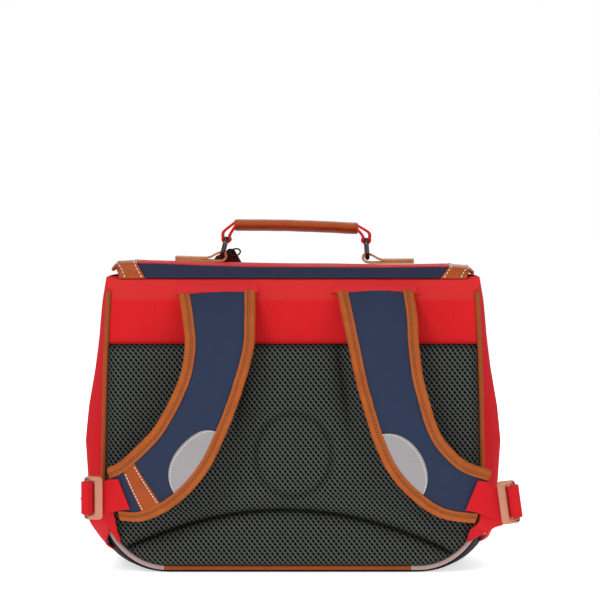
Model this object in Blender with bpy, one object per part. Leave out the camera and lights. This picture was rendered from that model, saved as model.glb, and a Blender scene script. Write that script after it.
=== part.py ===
# A school ransel: a satchel worn as a backpack, standing upright with its flap closed.
# Metres, +Z up. The harness side faces -Y and +X is to the right of someone facing that side.
# The origin is the middle of the flat underside.

import math

import bmesh
import bpy
from mathutils import Vector

# Driving dimensions: body
body_height = 0.292
body_half_width = 0.190
body_depth = 0.130
top_taper = 0.0065
corner_reach = 0.0645
corner_rise = 0.070
corner_power = 2.2
side_bulge = 0.022
edge_softness = 0.005
wall = 0.0025
tray_height = 0.045
piece_gap = 0.0003

# Driving dimensions: back pad, band, hem and piping
piping_diameter = 0.005
piping_seat = 0.001
pad_height = 0.227
pad_edge = 0.005
pad_puff = 0.005
groove_depth = 0.0035
groove_width = 0.009
valley_depth = 0.003
valley_top = 0.045
valley_spread = 0.14
pad_soft_side = 0.016
pad_soft_end = 0.012
hem_height = 0.0125
hem_thickness = 0.004
band_thickness = 0.002
reflective_top = 0.045
reflective_inner = 0.122
piping_spacing = 0.012

# Driving dimensions: flap
flap_thickness = 0.0025
flap_rise = 0.0145
flap_sag = 0.003
flap_tilt = 0.012
flap_foot = 0.075
flap_clearance = 0.002
border_thickness = 0.003
clasp_width = 0.038
clasp_height = 0.030
clasp_thickness = 0.006
border_seam = 0.0009

# Driving dimensions: handle
ring_place = 0.3966 * body_half_width
ring_wire = 0.004
ring_width = 0.029
ring_height = 0.0185
ring_corner = 0.004
tab_reach = 0.045
tab_width = 0.022
tab_leather = 0.0015
handle_web_width = 0.022
handle_web_thickness = 0.002
grip_half_length = 0.0625
grip_depth = 0.025
grip_height = 0.0085
grip_rise = 0.0150
grip_drop = 0.0012
grip_bow = 0.001
grip_seam = 0.0022
grip_seam_half = 0.0013
grip_seam_overlap = 0.0002
tag_thickness = 0.004
tag_clearance = 0.002
tag_loop_wire = 0.0018
tag_loop_width = 0.0096
tag_loop_height = 0.0088

# Driving dimensions: shoulder straps
strap_width = 0.066
strap_thickness = 0.009
strap_bow = 0.034
binding_width = 0.0105
binding_wall = 0.0012
patch_thickness = 0.0008
patch_lip = 0.001
reflector_share = 0.54
label_thickness = 0.0013
label_length = 0.018
strap_row_length = 0.032
strap_edge_softness = 0.003

# Driving dimensions: webbing and buckles
web_width = 0.032
web_thickness = 0.002
buckle_width = 0.042
buckle_length = 0.0215
buckle_thickness = 0.005
buckle_inner_bar = 0.0075
buckle_outer_bar = 0.004
buckle_rail = 0.0045
buckle_corner = 0.003
buckle_window_corner = 0.001
buckle_bevel = 0.0011
web_end_rows = 0.5
web_lead = 0.002
web_slack = 0.0006
web_return = 0.0004
leg_start = 0.0
leg_inset = 0.029
leg_end_height = 0.050
leg_slant = 31
leg_first_pull = 0.012
leg_second_pull = 0.020
leg_back_shift = 0.002

# Shares of the body height and of the side bulge: how far the gussets stand out beyond the panels
bulge_rows = [
    {"up": 0.00, "out": 0.78},
    {"up": 0.05, "out": 0.68},
    {"up": 0.10, "out": 0.66},
    {"up": 0.20, "out": 0.74},
    {"up": 0.30, "out": 0.88},
    {"up": 0.43, "out": 1.00},
    {"up": 0.55, "out": 0.86},
    {"up": 0.68, "out": 0.62},
    {"up": 0.80, "out": 0.46},
    {"up": 0.92, "out": 0.36},
    {"up": 1.00, "out": 0.22},
]

# A row for each section of a shoulder strap, from its top end to its lower end, then the buckle.
# across: share of body_half_width, up: share of the hem's lower edge, out: share of strap_bow,
# width: share of strap_width, thick: share of strap_thickness, turn: degrees that the outer edge rises
left_strap_rows = [
    {"across": 0.393, "up": 0.991, "out": -0.016, "width": 1.14, "thick": 0.55, "turn": -3},
    {"across": 0.381, "up": 0.902, "out": 0.44, "width": 1.08, "thick": 1.00, "turn": 1},
    {"across": 0.377, "up": 0.808, "out": 0.72, "width": 1.02, "thick": 1.00, "turn": 3},
    {"across": 0.411, "up": 0.700, "out": 0.92, "width": 0.95, "thick": 1.00, "turn": 14},
    {"across": 0.473, "up": 0.587, "out": 1.00, "width": 0.96, "thick": 1.00, "turn": 26},
    {"across": 0.569, "up": 0.460, "out": 1.00, "width": 1.02, "thick": 1.00, "turn": 38},
    {"across": 0.686, "up": 0.370, "out": 0.93, "width": 1.04, "thick": 1.00, "turn": 51},
    {"across": 0.814, "up": 0.309, "out": 0.82, "width": 0.96, "thick": 0.95, "turn": 65},
    {"across": 0.919, "up": 0.293, "out": 0.72, "width": 0.80, "thick": 0.70, "turn": 76},
    {"across": 1.040, "up": 0.285, "out": 0.72, "width": 0.60, "thick": 0.70, "turn": 90},
]
right_strap_rows = [
    {"across": 0.427, "up": 0.995, "out": -0.016, "width": 1.14, "thick": 0.55, "turn": 1},
    {"across": 0.449, "up": 0.907, "out": 0.44, "width": 1.11, "thick": 1.00, "turn": 2},
    {"across": 0.467, "up": 0.813, "out": 0.72, "width": 1.04, "thick": 1.00, "turn": 3},
    {"across": 0.493, "up": 0.704, "out": 0.92, "width": 0.99, "thick": 1.00, "turn": 6},
    {"across": 0.531, "up": 0.607, "out": 1.00, "width": 0.97, "thick": 1.00, "turn": 12},
    {"across": 0.572, "up": 0.516, "out": 1.00, "width": 0.96, "thick": 1.00, "turn": 21},
    {"across": 0.630, "up": 0.433, "out": 0.96, "width": 0.96, "thick": 1.00, "turn": 36},
    {"across": 0.715, "up": 0.366, "out": 0.90, "width": 0.95, "thick": 1.00, "turn": 50},
    {"across": 0.826, "up": 0.311, "out": 0.80, "width": 0.92, "thick": 0.95, "turn": 64},
    {"across": 0.942, "up": 0.282, "out": 0.72, "width": 0.82, "thick": 0.70, "turn": 80},
    {"across": 1.103, "up": 0.270, "out": 0.72, "width": 0.60, "thick": 0.70, "turn": 98},
]

# The flap in side view, from the hem over the top and down the front.
# along: share of half the body depth, rise: share of flap_rise above the body where it is
# positive, and share of the front drop where it is negative; inner and outer: half widths as
# shares of body_half_width, where the leather border starts and ends
flap_rows = [
    {"along": -1.06, "rise": 0.02, "inner": 0.766, "outer": 0.900},
    {"along": -1.04, "rise": 0.60, "inner": 0.792, "outer": 0.918},
    {"along": -0.98, "rise": 0.98, "inner": 0.810, "outer": 0.940},
    {"along": -0.70, "rise": 1.10, "inner": 0.815, "outer": 0.950},
    {"along": -0.20, "rise": 1.08, "inner": 0.815, "outer": 0.955},
    {"along": 0.35, "rise": 0.98, "inner": 0.815, "outer": 0.957},
    {"along": 0.85, "rise": 0.72, "inner": 0.815, "outer": 0.960},
    {"along": 1.08, "rise": 0.10, "inner": 0.820, "outer": 0.964},
    {"along": 1.12, "rise": -0.08, "inner": 0.828, "outer": 0.966},
    {"along": 1.13, "rise": -0.50, "inner": 0.830, "outer": 0.970},
    {"along": 1.12, "rise": -1.00, "inner": 0.828, "outer": 0.964},
]
hinge_share = 0.2

# The webbing leg on the gusset, from behind the buckle down past the piping.
# up: share of tray_height; inner_out and outer_out: how far its two edges stand out beyond the
# panel, inner_fore and outer_fore: how far they stand in front of it, all shares of web_width
side_leg_rows = [
    {"up": 1.30, "inner_out": -0.36, "outer_out": 0.55, "inner_fore": 1.04, "outer_fore": 1.04},
    {"up": 1.12, "inner_out": -0.34, "outer_out": 0.54, "inner_fore": 0.90, "outer_fore": 0.74},
    {"up": 0.90, "inner_out": -0.10, "outer_out": 0.52, "inner_fore": 0.48, "outer_fore": -0.10},
    {"up": 0.73, "inner_out": 0.12, "outer_out": 0.48, "inner_fore": 0.25, "outer_fore": -0.54},
    {"up": 0.58, "inner_out": 0.12, "outer_out": 0.42, "inner_fore": 0.06, "outer_fore": -0.82},
    {"up": 0.44, "inner_out": 0.07, "outer_out": 0.385, "inner_fore": 0.00, "outer_fore": -0.88},
]

# The arch pressed into the pad: its half span, foot and crown as shares of the body
arch_half_span = 0.86
arch_foot = 0.075
arch_crown = 0.215

# Where the two valleys beside the pad's middle fade out, as shares of the pad's height
valley_end = 0.48
valley_fade = 0.22


def linear_colour(red, green, blue):
    result = []
    for channel in (red, green, blue):
        share = channel / 255
        result.append(share / 12.92 if share <= 0.04045 else ((share + 0.055) / 1.055) ** 2.4)
    return result + [1]


def make_material(name, colour, roughness, metallic=0.0):
    made = bpy.data.materials.new(name)
    made.use_nodes = True
    shader = made.node_tree.nodes["Principled BSDF"]
    shader.inputs["Base Color"].default_value = linear_colour(*colour)
    shader.inputs["Roughness"].default_value = roughness
    shader.inputs["Metallic"].default_value = metallic
    return made


def smooth_rows(rows, count):
    # A smooth curve through a table's rows, read at evenly spaced places along it
    keys = list(rows[0])
    result = []
    for step in range(count):
        place = step / (count - 1) * (len(rows) - 1)
        result.append(row_at(rows, place, keys))
    return result


def row_at(rows, place, keys=None):
    keys = keys or list(rows[0])
    first = min(max(int(math.floor(place)), 0), len(rows) - 2)
    share = place - first
    before = rows[max(first - 1, 0)]
    start = rows[first]
    end = rows[first + 1]
    after = rows[min(first + 2, len(rows) - 1)]
    result = {}
    for key in keys:
        slope_in = (end[key] - before[key]) / 2
        slope_out = (after[key] - start[key]) / 2
        square = share * share
        cube = square * share
        result[key] = (
            (2 * cube - 3 * square + 1) * start[key]
            + (cube - 2 * square + share) * slope_in
            + (3 * square - 2 * cube) * end[key]
            + (cube - square) * slope_out
        )
    return result


def table_value(rows, across_key, value_key, place):
    # A table read by one of its columns, with straight runs between its rows
    for low, high in zip(rows, rows[1:]):
        if place <= high[across_key]:
            share = (place - low[across_key]) / (high[across_key] - low[across_key])
            return low[value_key] + (high[value_key] - low[value_key]) * share
    return rows[-1][value_key]


def place_mesh(name, work, material, sharp_degrees=40):
    bmesh.ops.recalc_face_normals(work, faces=work.faces)
    mesh = bpy.data.meshes.new(name)
    work.to_mesh(mesh)
    work.free()
    mesh.materials.append(material)
    mesh.shade_smooth()
    mesh.set_sharp_from_angle(angle=math.radians(sharp_degrees))
    item = bpy.data.objects.new(name, mesh)
    bpy.context.scene.collection.objects.link(item)
    return item


def loft(name, rings, material, joined_ends=False):
    # Closed rings with equally many points, skinned one after another
    work = bmesh.new()
    loops = [[work.verts.new(point) for point in ring] for ring in rings]
    pairs = list(zip(loops, loops[1:]))
    if joined_ends:
        pairs.append((loops[-1], loops[0]))
    for near, far in pairs:
        for index in range(len(near)):
            following = (index + 1) % len(near)
            work.faces.new((near[index], near[following], far[following], far[index]))
    if not joined_ends:
        work.faces.new(loops[0])
        work.faces.new(loops[-1])
    return place_mesh(name, work, material)


def tube(name, points, diameter, material, closed=False, resolution=1):
    # A round cord along a list of points
    curve = bpy.data.curves.new(name, "CURVE")
    curve.dimensions = "3D"
    curve.bevel_depth = diameter / 2
    curve.bevel_resolution = resolution
    curve.use_fill_caps = not closed
    spline = curve.splines.new("POLY")
    spline.points.add(len(points) - 1)
    for target, point in zip(spline.points, points):
        target.co = (*point, 1)
    spline.use_cyclic_u = closed
    curve.materials.append(material)
    item = bpy.data.objects.new(name, curve)
    bpy.context.scene.collection.objects.link(item)
    return item


def band_outline(path, thickness):
    # The outline of a flat band seen edge-on: its middle line moved out to both sides
    left = []
    right = []
    for index, point in enumerate(path):
        before = path[max(index - 1, 0)]
        after = path[min(index + 1, len(path) - 1)]
        along = (Vector(after) - Vector(before)).normalized()
        normal = Vector((-along.y, along.x)) * thickness / 2
        left.append(Vector(point) + normal)
        right.append(Vector(point) - normal)
    return left + right[::-1]


def ribbon(name, stations, width, thickness, material):
    # A flat strip through stations of a middle point, a direction across and a face normal
    rings = []
    for point, across, normal in stations:
        side = across * width / 2
        face = normal * thickness / 2
        rings.append([point + side + face, point - side + face, point - side - face, point + side - face])
    return loft(name, rings, material)


# Body

def panel_half_width(height, inset=0.0, seat=0.0):
    # The rear panel's outline: a wide round lower corner, then a side that leans in slightly
    if height < corner_rise:
        drop = min((corner_rise - height) / (corner_rise - inset - seat), 1.0)
        reach = (corner_reach - inset) * (1 - drop**corner_power) ** (1 / corner_power)
        return body_half_width - corner_reach + reach
    lean = top_taper * ((height - corner_rise) / (body_height - corner_rise)) ** 2
    return body_half_width - inset - lean


def gusset_out(height):
    return side_bulge * table_value(bulge_rows, "up", "out", height / body_height)


def body_ring(height, inset=0.0):
    half_width = panel_half_width(height, inset)
    half_depth = body_depth / 2 - inset
    steps = 8
    side = [(half_width - edge_softness, -half_depth)]
    for step in range(steps + 1):
        share = -1 + 2 * step / steps
        reach = gusset_out(height) * (1 - share**2)
        side.append((half_width + reach, share * (half_depth - edge_softness / 3)))
    side.append((half_width - edge_softness, half_depth))
    front = [(share * half_width, half_depth) for share in (0.5, 0.0, -0.5)]
    other = [(-x, y) for x, y in reversed(side)]
    rear = [(share * half_width, -half_depth) for share in (-0.5, 0.0, 0.5)]
    return [Vector((x, y, height)) for x, y in side + front + other + rear]


def make_base_tray(material):
    shares = (0.0, 0.02, 0.06, 0.13, 0.25, 0.42, 0.62, 0.80, 1.0)
    outer = [body_ring(tray_height * share) for share in shares]
    inner_heights = [wall + (tray_height - wall) * share for share in shares]
    inner = [body_ring(height, wall) for height in reversed(inner_heights)]
    return loft("base_tray", outer + inner, material)


def make_body_shell(material):
    count = 10
    low = tray_height + piece_gap
    heights = [low + (body_height - low) * step / (count - 1) for step in range(count)]
    outer = [body_ring(height) for height in heights]
    inner = [body_ring(height, wall) for height in reversed(heights)]
    return loft("body_shell", outer + inner, material, joined_ends=True)


# Rear panel: pad, band, hem and piping

rear_face = -body_depth / 2 - piece_gap


def arch_height(x):
    share = min(abs(x) / (arch_half_span * body_half_width), 1.0)
    rise = (arch_crown - arch_foot) * (1 - share**2.0)
    return body_height * (arch_foot + rise)


def pad_front(x, z):
    # How far the pad's face stands out: full in the middle, thin at its seams, pressed in at the grooves
    half_width = panel_half_width(z, piping_diameter + piece_gap, piping_seat)
    side_room = max(half_width - abs(x), 0.0)
    end_room = max(min(z, pad_height - z), 0.0)
    fullness = math.sqrt(min(side_room / pad_soft_side, 1.0) * min(end_room / pad_soft_end, 1.0))
    arch = math.exp(-(((z - arch_height(x)) / groove_width) ** 2))
    if abs(x) > arch_half_span * body_half_width:
        arch = 0.0
    valley_line = valley_top + valley_spread * (pad_height - z)
    valley = math.exp(-(((abs(x) - valley_line) / groove_width) ** 2))
    fade = min(max((z / pad_height - valley_end) / valley_fade, 0.0), 1.0)
    relief = groove_depth * arch + valley_depth * valley * fade
    return rear_face - pad_edge - pad_puff * fullness + relief * fullness


def make_back_pad(material):
    columns = 28
    rows = 24
    low = piping_seat + piping_diameter + 2 * piece_gap
    heights = [low + (pad_height - low) * (step / rows) ** 1.15 for step in range(rows + 1)]
    work = bmesh.new()
    grid = []
    for height in heights:
        half_width = panel_half_width(height, piping_diameter + piece_gap, piping_seat)
        row = []
        for step in range(columns + 1):
            x = half_width * math.sin(math.pi * (step / columns - 0.5))
            row.append(work.verts.new((x, pad_front(x, height), height)))
        grid.append(row)
    for low_row, high_row in zip(grid, grid[1:]):
        for index in range(columns):
            work.faces.new((low_row[index], low_row[index + 1], high_row[index + 1], high_row[index]))
    rim = grid[0] + [row[-1] for row in grid[1:]] + grid[-1][-2::-1] + [row[0] for row in grid[-2:0:-1]]
    backs = [work.verts.new((vert.co.x, rear_face, vert.co.z)) for vert in rim]
    for index in range(len(rim)):
        following = (index + 1) % len(rim)
        work.faces.new((rim[index], rim[following], backs[following], backs[index]))
    work.faces.new(backs)
    return place_mesh("back_pad", work, material)


def rear_strip(name, low, high, thickness, side_inset, material, swell=0.0):
    # A strip of cloth across the rear panel that follows the panel's sides
    rings = []
    steps = 4
    for step in range(steps + 1):
        share = step / steps
        height = low + (high - low) * share
        half_width = panel_half_width(height) - side_inset
        front = rear_face - thickness - swell * math.sin(math.pi * share)
        ring = [Vector((half_width * column, front, height)) for column in (-1.0, -0.5, 0.0, 0.5, 1.0)]
        ring += [Vector((half_width, rear_face, height)), Vector((-half_width, rear_face, height))]
        rings.append(ring)
    return loft(name, rings, material)


def make_top_band(material):
    low = pad_height + piece_gap
    high = body_height - hem_height - piece_gap
    return rear_strip("top_band", low, high, band_thickness, piping_diameter + piece_gap, material)


def make_top_hem(material):
    low = body_height - hem_height
    return rear_strip("top_hem", low, body_height, hem_thickness * 0.75, 0.0, material, hem_thickness * 0.25)


def make_piping(brown, silver):
    # Brown down both sides, silver round the lower corners, brown again along the base
    inset = piping_diameter / 2
    depth = rear_face - inset
    side_top = body_height - hem_height - piece_gap
    low_line = piping_seat + inset
    side_low = reflective_top + piece_gap
    side_count = int((side_top - side_low) / piping_spacing)
    corner_count = 12
    turned = ((corner_rise - reflective_top) / (corner_rise - low_line)) ** (corner_power / 2)
    first_angle = math.asin(turned)
    for side, sign in (("left", -1), ("right", 1)):
        brown_run = []
        for step in range(side_count + 1):
            height = side_top + (side_low - side_top) * step / side_count
            brown_run.append((sign * panel_half_width(height, inset, piping_seat), depth, height))
        silver_run = []
        for step in range(corner_count + 1):
            angle = first_angle + (math.pi / 2 - first_angle) * step / corner_count
            across = max(math.cos(angle), 0.0) ** (2 / corner_power) * (corner_reach - inset)
            height = corner_rise - math.sin(angle) ** (2 / corner_power) * (corner_rise - low_line)
            silver_run.append((sign * (body_half_width - corner_reach + across), depth, height))
        silver_run.append((sign * reflective_inner, depth, low_line))
        tube("side_piping_" + side, brown_run, piping_diameter, brown)
        tube("corner_piping_" + side, silver_run, piping_diameter, silver)
    reach = reflective_inner - piece_gap
    steps = 6
    base_run = [(reach * (2 * step / steps - 1), depth, low_line) for step in range(steps + 1)]
    tube("bottom_piping", base_run, piping_diameter, brown)


# Flap

flap_samples = 31


def flap_side_points():
    # The flap's outer face in side view, with the widths of its border
    drop = body_height - flap_foot
    result = []
    for row in smooth_rows(flap_rows, flap_samples):
        y = row["along"] * (body_depth / 2 + flap_clearance)
        rise = row["rise"]
        z = body_height + (rise * flap_rise if rise > 0 else rise * drop) + piece_gap
        result.append((y, z, row["inner"] * body_half_width, row["outer"] * body_half_width))
    return result


def flap_sink(x, z):
    # The top sags between its borders and leans slightly to the right; the front hangs straight
    if z < body_height + piece_gap:
        return 0.0
    share = min((z - body_height) / flap_rise, 1.0)
    sag = flap_sag * (1 - (x / body_half_width) ** 2) + flap_tilt * x
    return share * sag


def flap_piece(name, first, last, columns_of, thickness, material, lift=0.0):
    side = flap_side_points()
    rings = []
    for index in range(first, last + 1):
        y, z, inner, outer = side[index]
        before = side[max(index - 1, 0)]
        after = side[min(index + 1, len(side) - 1)]
        along = Vector((after[0] - before[0], after[1] - before[1])).normalized()
        normal = Vector((-along.y, along.x))
        tops = []
        bottoms = []
        for x in columns_of(inner, outer):
            height = z - flap_sink(x, z)
            tops.append(Vector((x, y + normal.x * lift, height + normal.y * lift)))
            low = lift - thickness
            bottoms.append(Vector((x, y + normal.x * low, height + normal.y * low)))
        rings.append(tops + bottoms[::-1])
    return loft(name, rings, material)


middle_shares = (-1.0, -0.66, -0.33, 0.0, 0.33, 0.66, 1.0)


def middle_columns(inner, outer):
    return [share * (inner - border_seam) for share in middle_shares]


def left_border_columns(inner, outer):
    return [-inner, -(inner + outer) / 2, -outer]


def right_border_columns(inner, outer):
    return [inner, (inner + outer) / 2, outer]


def make_flap(navy, red, leather):
    last = flap_samples - 1
    hinge_last = round(hinge_share * last)
    flap_piece("flap_hinge", 0, hinge_last, middle_columns, flap_thickness, navy)
    cover = flap_piece("flap_cover", hinge_last, last, middle_columns, flap_thickness, red)
    trim_start(cover, piece_gap)
    lift = (border_thickness - flap_thickness) / 2
    flap_piece("flap_border_left", 0, last, left_border_columns, border_thickness, leather, lift)
    flap_piece("flap_border_right", 0, last, right_border_columns, border_thickness, leather, lift)


def trim_start(item, distance):
    # The first ring moves along the sheet, which leaves a seam gap to the piece before it
    mesh = item.data
    ring_size = 2 * len(middle_shares)
    for index in range(ring_size):
        start = mesh.vertices[index].co.copy()
        onward = mesh.vertices[index + ring_size].co - start
        mesh.vertices[index].co = start + onward.normalized() * distance


def flap_surface(x, y):
    # Height of the flap's outer face over a place on its top
    side = flap_side_points()
    for near, far in zip(side, side[1:]):
        if near[0] <= y <= far[0] and near[1] > body_height:
            share = (y - near[0]) / (far[0] - near[0])
            z = near[1] + (far[1] - near[1]) * share
            return z - flap_sink(x, z)
    return body_height + flap_rise


def make_flap_clasp(material):
    low = flap_foot + clasp_height * 0.4
    face = max(point[0] for point in flap_side_points()) + piece_gap
    corner = clasp_height * 0.2
    rings = []
    for share, inset in ((0.0, 0.0), (0.75, 0.0), (1.0, clasp_thickness / 4)):
        y = face + clasp_thickness * share
        half = clasp_width / 2 - inset
        bottom = low + inset
        top = low + clasp_height - inset
        outline = [
            (-half + corner, bottom),
            (half - corner, bottom),
            (half, bottom + corner),
            (half, top - corner),
            (half - corner, top),
            (-half + corner, top),
            (-half, top - corner),
            (-half, bottom + corner),
        ]
        rings.append([Vector((x, y, z)) for x, z in outline])
    return loft("flap_clasp", rings, material)


# Handle

# A row for each side: the ring's lean in degrees, and the side of the bag that it is on
handle_rows = {
    "left": {"sign": -1, "lean": 21.0},
    "right": {"sign": 1, "lean": -4.0},
}
bar_lift = tab_leather * 2 + ring_wire / 2 + 4 * piece_gap


def ring_bars(side):
    # The middle of a ring's lower and upper bars, seen from the harness side
    row = handle_rows[side]
    x = row["sign"] * ring_place
    z = flap_surface(x, 0.0) + bar_lift
    lean = math.radians(row["lean"])
    low = Vector((x, 0.0, z))
    high = low + Vector((math.sin(lean), 0.0, math.cos(lean))) * ring_height
    return low, high


def rounded_loop(half_width, height, radius, corner_steps=4):
    # A rectangle with round corners, standing on its lower bar
    points = []
    corners = (
        (half_width - radius, radius, -90),
        (half_width - radius, height - radius, 0),
        (-half_width + radius, height - radius, 90),
        (-half_width + radius, radius, 180),
    )
    for x, y, start in corners:
        for step in range(corner_steps + 1):
            angle = math.radians(start + 90 * step / corner_steps)
            points.append((x + radius * math.cos(angle), y + radius * math.sin(angle)))
    return points


def make_ring(side, material):
    low, high = ring_bars(side)
    up = (high - low).normalized()
    points = []
    for across, rise in rounded_loop(ring_width / 2, ring_height, ring_corner):
        points.append(low + Vector((0.0, across, 0.0)) + up * rise)
    return tube("ring_" + side, points, ring_wire, material, closed=True)


def make_ring_tab(side, material):
    # A strip folded double round the ring's lower bar, both ends sewn flat on the flap
    low = ring_bars(side)[0]
    outward = handle_rows[side]["sign"]
    clear = ring_wire / 2 + tab_leather / 2 + 3 * piece_gap
    lower_line = flap_surface(low.x, 0.0) + piece_gap + tab_leather / 2
    upper_line = lower_line + tab_leather + piece_gap
    far = low.x + outward * tab_reach
    near = low.x + outward * clear * 4
    slope = (flap_surface(far, 0.0) - flap_surface(near, 0.0)) / (far - near)
    path = [(far, upper_line + slope * (far - low.x)), (near, upper_line + slope * (near - low.x))]
    path.append((low.x + outward * clear * 1.2, low.z + clear * 0.35))
    for degrees in (75, 110, 145, 180, 215):
        angle = math.radians(degrees)
        path.append((low.x + outward * clear * math.cos(angle), low.z + clear * math.sin(angle)))
    path.append((low.x + outward * clear * 0.2, lower_line + piece_gap))
    path.append((near, lower_line + slope * (near - low.x)))
    path.append((far, lower_line + slope * (far - low.x)))
    outline = band_outline(path, tab_leather)
    rings = [[Vector((x, y, z)) for x, z in outline] for y in (-tab_width / 2, tab_width / 2)]
    return loft("ring_tab_" + side, rings, material)


def grip_middle(x):
    left = ring_bars("left")[1]
    right = ring_bars("right")[1]
    share = (x + grip_half_length) / (2 * grip_half_length)
    bow = grip_bow * math.cos(math.pi * (share - 0.5))
    return left.z + (right.z - left.z) * share + grip_rise + bow - grip_drop * share


def grip_shift():
    return (ring_bars("left")[1].x + ring_bars("right")[1].x) / 2


def make_grip(material):
    half = grip_depth / 2
    top = grip_height / 2
    seam = grip_seam_half
    turns = [math.radians(degrees) for degrees in range(-60, 241, 30)]
    section = [(half * math.cos(turn), top * math.sin(turn)) for turn in turns]
    section += [(-seam, -top - grip_seam_overlap), (-seam, -top - grip_seam)]
    section += [(seam, -top - grip_seam), (seam, -top - grip_seam_overlap)]
    rings = []
    shares = (-1.0, -0.97, -0.75, -0.4, 0.0, 0.4, 0.75, 0.97, 1.0)
    for share in shares:
        x = share * grip_half_length
        size = 0.86 if abs(share) == 1.0 else 1.0
        middle = grip_middle(x)
        rings.append([Vector((x + grip_shift(), y * size, middle + z * size)) for y, z in section])
    return loft("grip", rings, material)


def make_grip_web(side, material):
    # A loop of webbing round the ring's upper bar, both layers ending at the grip
    high = ring_bars(side)[1]
    outward = handle_rows[side]["sign"]
    end_x = grip_shift() + outward * (grip_half_length + piece_gap + handle_web_thickness * 0.5)
    middle = grip_middle(outward * grip_half_length)
    clear = ring_wire / 2 + handle_web_thickness / 2 + 3 * piece_gap
    path = [(end_x, middle + grip_height * 0.27)]
    path.append((high.x + outward * clear * 0.75, high.z + clear * 2.3))
    for degrees in (20, -15, -50, -90, -130, -165):
        angle = math.radians(degrees)
        path.append((high.x + outward * clear * math.cos(angle), high.z + clear * math.sin(angle)))
    path.append((high.x - outward * clear * 0.85, high.z + clear * 0.9))
    path.append((end_x, middle - grip_height * 0.2))
    outline = band_outline(path, handle_web_thickness)
    half = handle_web_width / 2
    rings = [[Vector((x, y, z)) for x, z in outline] for y in (-half, half)]
    return loft("grip_web_" + side, rings, material)


def make_tag(leather, cord):
    # A folded tag that stands behind the left ring, with a small loop of cord beside it
    low, high = ring_bars("left")
    y = ring_width / 2 + ring_wire + tag_clearance
    base = [(-0.011, 0.0), (-0.007, 0.006), (0.001, 0.009), (0.006, 0.0135), (0.012, 0.0135), (0.019, 0.0)]
    rings = []
    for depth in (y, y + tag_thickness):
        ring = []
        for x, z in base:
            place = low.x + x
            ring.append(Vector((place, depth, flap_surface(place, depth) + piece_gap + z)))
        rings.append(ring)
    loft("tag", rings, leather)
    middle = Vector((low.x + ring_wire * 4, y - tag_loop_wire - piece_gap, 0.0))
    middle.z = flap_surface(middle.x, middle.y) + tag_loop_height / 2 + tag_loop_wire
    points = []
    count = 12
    for step in range(count):
        angle = 2 * math.pi * step / count
        reach = Vector((tag_loop_width / 2 * math.cos(angle), 0.0, tag_loop_height / 2 * math.sin(angle)))
        points.append(middle + reach)
    tube("tag_loop", points, tag_loop_wire, cord, closed=True)


# Shoulder straps

strap_tables = {"left": (-1, left_strap_rows), "right": (1, right_strap_rows)}


def strap_frame(side, place):
    # The strap's middle, the directions across it (outward), along it and out of its front, and its size
    sign, rows = strap_tables[side]
    row = row_at(rows, place)
    middle = strap_middle(side, row)
    step = 0.02
    ahead = strap_middle(side, row_at(rows, min(place + step, len(rows) - 1)))
    behind = strap_middle(side, row_at(rows, max(place - step, 0)))
    turn = math.radians(row["turn"])
    across = Vector((sign * math.cos(turn), 0.0, math.sin(turn)))
    along = (ahead - behind).normalized()
    normal = across.cross(along)
    if normal.y > 0:
        normal.negate()
    normal.normalize()
    along = normal.cross(across)
    if along.dot(ahead - behind) < 0:
        along.negate()
    return {
        "middle": middle,
        "across": across,
        "along": along,
        "normal": normal,
        "half": row["width"] * strap_width / 2,
        "thick": row["thick"] * strap_thickness,
    }


def strap_middle(side, row):
    sign, rows = strap_tables[side]
    x = sign * row["across"] * body_half_width
    z = row["up"] * (body_height - hem_height)
    seat = rear_face - band_thickness - binding_wall - 2 * piece_gap
    y = seat - row["thick"] * strap_thickness / 2 - row["out"] * strap_bow
    return Vector((x, y, z))


def strap_end(side):
    return len(strap_tables[side][1]) - 2


def strap_places(side, per_row=3):
    count = strap_end(side) * per_row
    return [step / per_row for step in range(count + 1)]


def make_strap_core(side, material):
    rings = []
    for place in strap_places(side):
        frame = strap_frame(side, place)
        half = frame["half"] - binding_wall - piece_gap
        thick = frame["thick"] / 2
        soft = min(strap_edge_softness, thick * 0.6)
        section = [
            (half, thick - soft),
            (half - soft, thick),
            (0.0, thick),
            (-half + soft, thick),
            (-half, thick - soft),
            (-half, -thick + soft),
            (-half + soft, -thick),
            (0.0, -thick),
            (half - soft, -thick),
            (half, -thick + soft),
        ]
        rings.append([frame["middle"] + frame["across"] * x + frame["normal"] * z for x, z in section])
    return loft("strap_" + side, rings, material)


def make_strap_binding(side, edge, material):
    # A strip folded round the strap's edge, clear of the padding by the piece gap
    outward = 1 if edge == "outer" else -1
    rings = []
    for place in strap_places(side):
        frame = strap_frame(side, place)
        half = frame["half"]
        thick = frame["thick"] / 2 + piece_gap
        outer_thick = thick + binding_wall
        inner_half = half - binding_wall
        reach = half - binding_width
        soft = min(strap_edge_softness, frame["thick"] / 2 * 0.6)
        section = [
            (reach, outer_thick),
            (half - soft, outer_thick),
            (half, outer_thick - soft),
            (half, -outer_thick + soft),
            (half - soft, -outer_thick),
            (reach, -outer_thick),
            (reach, -thick),
            (inner_half - soft, -thick),
            (inner_half, -thick + soft),
            (inner_half, thick - soft),
            (inner_half - soft, thick),
            (reach, thick),
        ]
        ring = []
        for x, z in section:
            ring.append(frame["middle"] + frame["across"] * x * outward + frame["normal"] * z)
        rings.append(ring)
    return loft("strap_binding_" + edge + "_" + side, rings, material)


# Patches sewn on the straps: where they start and end, counted in the strap tables' rows
reflector_places = {"left": (4.25, 5.98), "right": (4.80, 7.15)}
label_place = 6.76


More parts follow.
